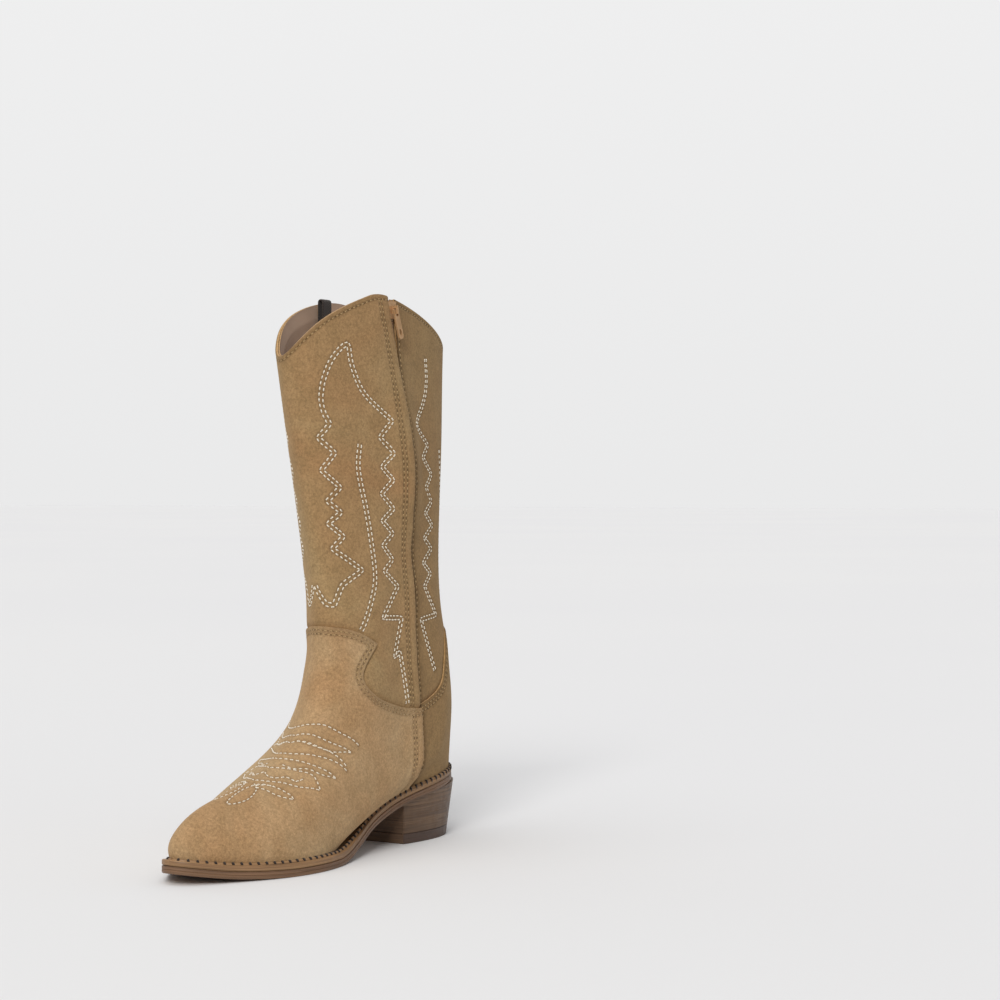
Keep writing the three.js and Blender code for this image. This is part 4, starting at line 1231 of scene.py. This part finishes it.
def swept_band(name, profile, materials, indices=None, keep=None):
    """Sweeps a closed profile of (out, up) round the outline; keep picks the stations used."""
    rings = [swept_ring(out, up) for out, up in profile]
    count, size = OUTLINE_COUNT, len(profile)
    vertices = np.stack(rings, 1).reshape(-1, 3)
    run = np.zeros_like(vertices)
    run[:, 0] = np.repeat(OUTLINE_RUN, size) * MM
    run[:, 1] = vertices[:, 2] - np.repeat(under_foot(OUTLINE[:, 1]), size) * MM
    used = np.ones(count, bool) if keep is None else keep
    faces, face_indices = [], []
    for i in range(count):
        n = (i + 1) % count
        if not (used[i] and used[n]):
            continue
        for k in range(size):
            m = (k + 1) % size
            faces.append((i * size + k, n * size + k, n * size + m, i * size + m))
            face_indices.append(indices[k] if indices else 0)
    for i in range(count):
        before, after = used[i - 1], used[(i + 1) % count]
        if used[i] and before != after:
            faces.append(tuple(i * size + k for k in range(size)))
            face_indices.append(0)
    piece = make_object(name, vertices, faces, materials, face_indices, 35)
    attribute = piece.data.attributes.new("run", "FLOAT_VECTOR", "POINT")
    attribute.data.foreach_set("vector", run.astype(np.float32).ravel())
    drop_loose(piece)
    face_outwards(piece)
    return piece


def drop_loose(piece):
    work = bmesh.new()
    work.from_mesh(piece.data)
    bmesh.ops.delete(work, geom=[v for v in work.verts if not v.link_faces], context="VERTS")
    work.to_mesh(piece.data)
    work.free()


def notch_height(run):
    """How high the welt's bead stands: nicked at every stitch."""
    phase = (run / NOTCH_PITCH) % 1.0
    nick = np.clip(1 - np.abs(phase - 0.5) / 0.2, 0, 1)
    return 1.15 * (1 - 0.95 * nick * nick * (3 - 2 * nick))


def welt_profile():
    width = welt_width(OUTLINE[:, 1])
    bead = notch_height(OUTLINE_RUN)
    top, low = -GAP, -GAP - WELT_THICK
    return (
        (-4.0, low), (-4.0, top), (-0.3, top), (0.15, top + bead), (0.75, top + bead * 1.05),
        (1.25, top + bead * 0.75), (1.6, top + 0.1), (width - 0.7, top + 0.05), (width - 0.25, top - 0.2),
        (width, top - 0.75), (width + 0.05, top - 1.7), (width, low + 0.45), (width - 0.35, low),
    )


def build_welt():
    ahead = OUTLINE[:, 1] < HEEL_BREAST
    for name, keep, node in (("welt_band", ahead, "welt"), ("heel_rand_band", ~ahead, "heel_rand")):
        piece = swept_band(name, welt_profile(), [WELT_EDGE], keep=keep)
        settle(piece, "boot", "welt_leather", node)


def build_welt_stitches():
    """A dark stitch in every nick of the bead."""
    body, body_faces = stitch_shape(2.9 * MM, 0.86 * MM)
    vertices, faces = [], []
    for k in range(int(OUTLINE_TOTAL / NOTCH_PITCH)):
        at = (k + 0.5) * NOTCH_PITCH
        x, y = (np.interp(at, OUTLINE_RUN, OUTLINE[:, c]) for c in range(2))
        ox, oy = (np.interp(at, OUTLINE_RUN, OUTWARD[:, c]) for c in range(2))
        out = Vector((ox, oy, -0.25)).normalized()
        along = Vector((-oy, ox, 0)).normalized()
        base = Vector((x + ox * 0.85, y + oy * 0.85, float(under_foot(y)) + 0.12)) * MM
        turn = Matrix((out, along, out.cross(along))).transposed()
        faces += [tuple(v + len(vertices) for v in f) for f in body_faces]
        vertices += [base + turn @ Vector(p) for p in body]
    piece = make_object("welt_stitches", vertices, faces, [DARK_THREAD], None, 0)
    add_values(piece, "along", np.zeros(len(vertices)))
    settle(piece, "boot", "welt_leather")


def cap_faces(first, count, across):
    """Faces across a ring, from each point to the one opposite it."""
    half = count // 2
    faces = []
    for i in range(half - 1):
        for k in range(across):
            a = first + i * (across + 1) + k
            b = a + across + 1
            faces.append((a, a + 1, b + 1, b))
    return faces


def plank(name, top_ring, bottom_ring, side_rings, height_top, height_bottom, materials):
    """A flat, curved plate: swept sides, and a top and a bottom whose height follows y."""
    count = len(top_ring)
    across = 14
    rings = [bottom_ring, *side_rings, top_ring]
    vertices = [p for ring in rings for p in ring]
    faces, indices = [], []
    for r in range(len(rings) - 1):
        for i in range(count):
            n = (i + 1) % count
            faces.append((r * count + i, r * count + n, (r + 1) * count + n, (r + 1) * count + i))
            indices.append(0)
    for ring, height, slot in ((bottom_ring, height_bottom, 1), (top_ring, height_top, 2)):
        first = len(vertices)
        half = count // 2
        for i in range(half):
            a, b = np.array(ring[i]), np.array(ring[(count - i) % count])
            for k in range(across + 1):
                spot = a + (b - a) * k / across
                if 0 < k < across:
                    spot[2] = height(spot[1] / MM) * MM
                vertices.append(tuple(spot))
        made = cap_faces(first, count, across)
        faces += made
        indices += [slot] * len(made)
    piece = make_object(name, vertices, faces, materials, indices, 35)
    work = bmesh.new()
    work.from_mesh(piece.data)
    bmesh.ops.remove_doubles(work, verts=work.verts, dist=0.02 * MM)
    holes = [e for e in work.edges if e.is_boundary]
    bmesh.ops.holes_fill(work, edges=holes)
    bmesh.ops.recalc_face_normals(work, faces=work.faces)
    work.to_mesh(piece.data)
    work.free()
    return piece


def build_outsole():
    width = welt_width(OUTLINE[:, 1])
    top, low = -SOLE_THICK + OUTSOLE_THICK, -SOLE_THICK
    bottom = swept_ring(width - 0.7, low)
    sides = [swept_ring(width - 0.15, low + 0.25), swept_ring(width + 0.05, low + 0.9),
             swept_ring(width + 0.05, low + 2.05), swept_ring(width - 0.22, low + 2.3),
             swept_ring(width + 0.05, low + 2.55), swept_ring(width, top - 0.5)]
    upper = swept_ring(width - 0.45, top)
    piece = plank("outsole_leather", upper, bottom, sides, lambda y: under_foot(y) + top,
                  lambda y: under_foot(y) + low, [SOLE_EDGE, TREAD, FLESH])
    attribute = piece.data.attributes.new("run", "FLOAT_VECTOR", "POINT")
    run = [(v.co.y, v.co.z - float(under_foot(v.co.y / MM)) * MM, 0) for v in piece.data.vertices]
    attribute.data.foreach_set("vector", np.array(run, np.float32).ravel())
    settle(piece, "boot", "sole_leather", "outsole")


# ---- heel -------------------------------------------------------------------------------------------

HEEL_TOP_Z = 42.0
HEEL_BOTTOM = (26.4, 39.8, -6.0)  # half width, back, middle
HEEL_TOP = (30.4, 46.9, -5.0)
OVAL_POWER = 0.88
TOP_LIFT_THICK = 6.6
LIFT_THICK = 5.6
LIFTS = 5
HEEL_POINTS = 220


def heel_ring(z, inset=0.0):
    """The heel's squared oval at a height, cut off flat at the breast, in mm."""
    t = z / HEEL_TOP_Z
    wide, back, middle = (a + (b - a) * t for a, b in zip(HEEL_BOTTOM, HEEL_TOP))
    breast = -25 - (z + 10) / 10 + inset
    ring = []
    for k in range(HEEL_POINTS):
        a = 2 * math.pi * k / HEEL_POINTS
        c, s = math.cos(a), math.sin(a)
        x = math.copysign(abs(c) ** OVAL_POWER, c) * (wide - inset)
        y = middle + math.copysign(abs(s) ** OVAL_POWER, s) * (back - middle - inset)
        ring.append((x, max(y, breast)))
    return ring


def heel_layer(name, low, high, materials, edge=0.18):
    """One lift: level faces, a slightly rounded edge, cut where the sole comes down over it."""
    levels = ((low, edge), (low + edge, 0.0), (high - edge, 0.0), (high, edge))
    vertices = []
    for z, inset in levels:
        for x, y in heel_ring(z, inset):
            roof = float(under_foot(y)) - SOLE_THICK - 0.05
            vertices.append((x * MM, y * MM, min(z, roof) * MM))
    faces = []
    count = HEEL_POINTS
    for r in range(3):
        for i in range(count):
            n = (i + 1) % count
            faces.append((r * count + i, r * count + n, (r + 1) * count + n, (r + 1) * count + i))
    faces.append(tuple(reversed(range(count))))
    faces.append(tuple(range(3 * count, 4 * count)))
    flat = [vertices[f[0]][1] == vertices[f[1]][1] for f in faces[:3 * count]]
    indices = [2 if breast else 0 for breast in flat] + [1, 0]
    piece = make_object(name, vertices, faces, [*materials, BREAST], indices, 0)
    work = bmesh.new()
    work.from_mesh(piece.data)
    bmesh.ops.remove_doubles(work, verts=work.verts, dist=0.01 * MM)
    bmesh.ops.triangulate(work, faces=[f for f in work.faces if len(f.verts) > 4])
    bmesh.ops.recalc_face_normals(work, faces=work.faces)
    work.to_mesh(piece.data)
    work.free()
    piece.data.set_sharp_from_angle(angle=math.radians(30))
    return piece


def build_heel():
    top_lift = heel_layer("top_lift_block", 0.0, TOP_LIFT_THICK, [TOP_LIFT, LIFT_TREAD], 0.35)
    settle(top_lift, "boot", "top_lift_rubber", "heel_top_lift")
    for k in range(LIFTS):
        low = TOP_LIFT_THICK + GAP + k * (LIFT_THICK + GAP)
        start = low - (0.1 if k == 0 else 0.28)
        layer = heel_layer(f"heel_layer_{k + 1}", start, low + LIFT_THICK, [HEEL_STACK, HEEL_STACK], 0.08)
        settle(layer, "boot", "heel_leather", f"heel_lift_{k + 1}")


# ---- inside of the foot --------------------------------------------------------------------------------

def build_sock():
    """The padded sock liner: a domed plate that follows the foot bed."""
    inset = -5.3
    base = 2.5

    def crown(y):
        return under_foot(y) + base + 2.6

    bottom = swept_ring(inset - 0.6, base)
    sides = [swept_ring(inset, base + 0.5), swept_ring(inset, base + 1.5)]
    upper = swept_ring(inset - 1.0, base + 2.2)
    piece = plank("sock_pad", upper, bottom, sides, crown, lambda y: under_foot(y) + base,
                  [LINING, LINING, LINING])
    add_values(piece, "crease", np.zeros(len(piece.data.vertices)))
    settle(piece, "boot", "lining", "sock_liner")


# ---- zip -------------------------------------------------------------------------------------------------

ZIP_DOWN = (ZIP_BOTTOM - ZIP_TOP) / np.linalg.norm(ZIP_BOTTOM - ZIP_TOP)
ZIP_ACROSS = np.array((-0.02, 1.0, 0.0))
ZIP_ACROSS = ZIP_ACROSS - ZIP_DOWN * ZIP_ACROSS.dot(ZIP_DOWN)
ZIP_ACROSS = ZIP_ACROSS / np.linalg.norm(ZIP_ACROSS)
ZIP_OUT = -np.cross(ZIP_ACROSS, ZIP_DOWN)
TEETH_DEPTH = -2.5
TEETH_PITCH = 1.9
TAPE_TOP_Z = 348.0


def zip_place(z, out, across, up):
    """A point in the zip's own axes, from the zip line at a height; all in mm."""
    return (zip_point(z) + ZIP_OUT * out + ZIP_ACROSS * across - ZIP_DOWN * up) * MM


def build_teeth():
    length = (TAPE_TOP_Z - 4) - (ZIP_BOTTOM[2] + 6)
    outline = ((0.5, 0.0), (0.75, 0.55), (1.3, 0.5), (2.2, 0.42), (2.2, -0.42), (1.3, -0.5), (0.75, -0.55))
    size = len(outline)
    for side, name in ((-1, "front"), (1, "back")):
        vertices, faces = [], []
        offset = 0.0 if side < 0 else TEETH_PITCH / 2
        for k in range(int(length / TEETH_PITCH)):
            up = offset + k * TEETH_PITCH + 0.6
            first = len(vertices)
            for out in (-1.0, 1.0):
                for across, rise in outline:
                    vertices.append(zip_place(47, TEETH_DEPTH + out, side * across, up + rise * 0.85))
            faces += [tuple(first + i for i in range(size)), tuple(first + size + i for i in range(size))]
            for i in range(size):
                n = (i + 1) % size
                faces.append((first + i, first + n, first + size + n, first + size + i))
        piece = make_object("teeth_" + name, vertices, faces, [ZIP_PAINT], None, 30)
        face_outwards(piece)
        settle(piece, "boot", "zip_metal", "zip_teeth_" + name)


def build_tapes():
    """The woven tapes and the soft flap inside the zip."""
    in_height = np.minimum(SIDE_Z - 43, TAPE_TOP_Z - SIDE_Z)
    for side, name in ((1, "front"), (-1, "back")):
        across = side * AHEAD
        region = np.minimum(np.minimum(across - 1.0, 14 - across), in_height)
        region = np.where(MEDIAL, np.minimum(region, UNDER_RIM), -1)
        made = Panel("tape_" + name, region, np.full(AHEAD.shape, -2.15), 0.7, [ZIP_CLOTH] * 3, (), 0.2)
        settle(made.piece, "boot", "zip_tape", "zip_tape_" + name)
    region = np.minimum(np.minimum(16 - AHEAD, AHEAD + 12), np.minimum(SIDE_Z - 51, 330 - SIDE_Z))
    region = np.where(MEDIAL, region, -1)
    made = Panel("guard_flap", region, np.full(AHEAD.shape, -7.0), 1.0, [LINING, RAW_EDGE, LINING], (), 0.4)
    settle(made.piece, "boot", "lining", "zip_guard")


# ---- pull strap --------------------------------------------------------------------------------------------

STRAP_WIDTH = 9.0
STRAP_THICK = 1.1
STRAP_LEG = 34.0
STRAP_FROM = (-29.2, -42.0, 314.0)


def build_strap():
    """A webbing loop standing over the outer rim, with corded edges."""
    middle = 2 * STRAP_THICK
    centre = STRAP_THICK * 1.5
    path = [(middle - centre, z) for z in np.linspace(0, STRAP_LEG, 18)]
    path += [(middle - centre * math.cos(a), STRAP_LEG + centre * math.sin(a))
             for a in np.linspace(0, math.pi, 12)[1:-1]]
    path += [(middle + centre, z) for z in np.linspace(STRAP_LEG, 0, 18)]
    path = np.array(path)
    along = np.gradient(path, axis=0)
    along /= np.linalg.norm(along, axis=1, keepdims=True)
    across = np.linspace(-0.5, 0.5, 13)
    vertices, faces = [], []
    for side in (0.5, -0.5):
        for (x, z), (tx, tz) in zip(path, along):
            for w in across:
                bead = 1.0 if abs(w) < 0.42 else 0.72
                off = side * STRAP_THICK * bead
                vertices.append(((STRAP_FROM[0] + x - tz * off) * MM, (STRAP_FROM[1] + w * STRAP_WIDTH) * MM,
                                 (STRAP_FROM[2] + z + tx * off) * MM))
    rows, columns = len(path), len(across)
    sheet = rows * columns
    for i in range(rows - 1):
        for k in range(columns - 1):
            a = i * columns + k
            faces.append((a, a + 1, a + columns + 1, a + columns))
            faces.append(tuple(v + sheet for v in (a + columns, a + columns + 1, a + 1, a)))
        for k in (0, columns - 1):
            a = i * columns + k
            faces.append((a, a + columns, a + columns + sheet, a + sheet))
    for i in (0, rows - 1):
        for k in range(columns - 1):
            a = i * columns + k
            faces.append((a, a + 1, a + 1 + sheet, a + sheet))
    piece = make_object("pull_strap_webbing", vertices, faces, [STRAP_CLOTH], None, 45)
    face_outwards(piece)
    settle(piece, "boot", "webbing", "pull_strap")


# ---- CAD nodes that stay ------------------------------------------------------------------------------------

def finish_cad_nodes():
    kept = {
        "toe_puff": STIFF_CLOTH, "heel_stiffener": STIFF_CLOTH, "filler": CORK, "shank": STEEL,
        "insole_board": FIBRE_BOARD, "zip_top_stop_front": ZIP_PAINT, "zip_top_stop_back": ZIP_PAINT,
        "zip_bottom_stop": ZIP_PAINT, "zip_slider": ZIP_PAINT, "zip_pull_tab": ZIP_PAINT,
    }
    kept.update({f"heel_nail_{k + 1}": STEEL for k in range(4)})
    for name, material in kept.items():
        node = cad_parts[name]
        node.data.materials.clear()
        node.data.materials.append(material)
        if name.startswith("zip_"):
            bevel = node.modifiers.new("soft_edges", "BEVEL")
            bevel.width = 0.22 * MM
            bevel.segments = 3
            bevel.limit_method = "ANGLE"


# ---- stage ---------------------------------------------------------------------------------------------------

CAMERA_AT = Vector((0.921, -1.245, 0.225))
CAMERA_LOOKS = Vector((-0.559, 0.829, 0.0)).normalized()
CAMERA_RIGHT = Vector((CAMERA_LOOKS.y, -CAMERA_LOOKS.x, 0))


def build_camera():
    camera = bpy.data.objects.new("camera", bpy.data.cameras.new("camera"))
    bpy.context.scene.collection.objects.link(camera)
    camera.location = CAMERA_AT
    camera.rotation_euler = CAMERA_LOOKS.to_track_quat("-Z", "Y").to_euler()
    camera.data.lens = 85
    camera.data.sensor_width = 36
    camera.data.shift_y = -0.007
    bpy.context.scene.camera = camera


def sun(name, towards, strength, angle, color):
    """A distant soft light; towards is the direction from the boot to the light."""
    lamp = bpy.data.lights.new(name, "SUN")
    lamp.energy = strength
    lamp.angle = math.radians(angle)
    lamp.color = color
    light = bpy.data.objects.new(name, lamp)
    bpy.context.scene.collection.objects.link(light)
    light.rotation_euler = (-towards).to_track_quat("-Z", "Y").to_euler()


def build_stage():
    floor = make_object("floor", [(-30, -30, 0), (30, -30, 0), (30, 30, 0), (-30, 30, 0)], [(0, 1, 2, 3)], [], None, 0)
    paint = Paint("studio_floor", 0.9, 0.1)
    cloud = paint.spread(paint.noise(900, 2, 0.5), 0.3, 0.7)
    floor.data.materials.append(paint.finish(paint.mix(cloud, linear("e8e8e9"), linear("eaeaea"))))
    up = Vector((0, 0, 1))
    back, left = CAMERA_LOOKS, -CAMERA_RIGHT
    sun("key", up * 0.62 - back * 0.95 + left * 0.16, 1.7, 22, (1, 0.985, 0.965))
    sun("top_fill", up - back * 0.25 + left * 0.2, 0.85, 60, (1, 1, 1))
    world = bpy.data.worlds.new("studio")
    bpy.context.scene.world = world
    world.use_nodes = True
    tree = world.node_tree
    place = tree.nodes.new("ShaderNodeTexCoord")
    facing = tree.nodes.new("ShaderNodeVectorMath")
    facing.operation = "DOT_PRODUCT"
    tree.links.new(place.outputs["Generated"], facing.inputs[0])
    facing.inputs[1].default_value = CAMERA_LOOKS
    rise = tree.nodes.new("ShaderNodeMapRange")
    tree.links.new(facing.outputs["Value"], rise.inputs["Value"])
    rise.inputs["From Min"].default_value = 0.9
    rise.inputs["From Max"].default_value = 0.2
    tint = tree.nodes.new("ShaderNodeMix")
    tint.data_type = "RGBA"
    tree.links.new(rise.outputs[0], tint.inputs[0])
    tint.inputs[6].default_value = (0.86, 0.86, 0.862, 1)
    tint.inputs[7].default_value = (0.36, 0.36, 0.365, 1)
    tree.links.new(tint.outputs[2], tree.nodes["Background"].inputs["Color"])
    parts = tree.nodes.new("ShaderNodeSeparateXYZ")
    tree.links.new(place.outputs["Generated"], parts.inputs[0])
    glow = tree.nodes.new("ShaderNodeMapRange")
    tree.links.new(parts.outputs["Z"], glow.inputs["Value"])
    glow.inputs["From Max"].default_value = 0.2
    glow.inputs["To Min"].default_value = 0.955
    tree.links.new(glow.outputs[0], tree.nodes["Background"].inputs["Strength"])
    view = bpy.context.scene.view_settings
    view.view_transform = "Standard"
    view.look = "None"


build_camera()
build_stage()
build_upper()
build_lining()
build_welt()
build_welt_stitches()
build_outsole()
build_heel()
build_sock()
build_teeth()
build_tapes()
build_strap()
finish_cad_nodes()
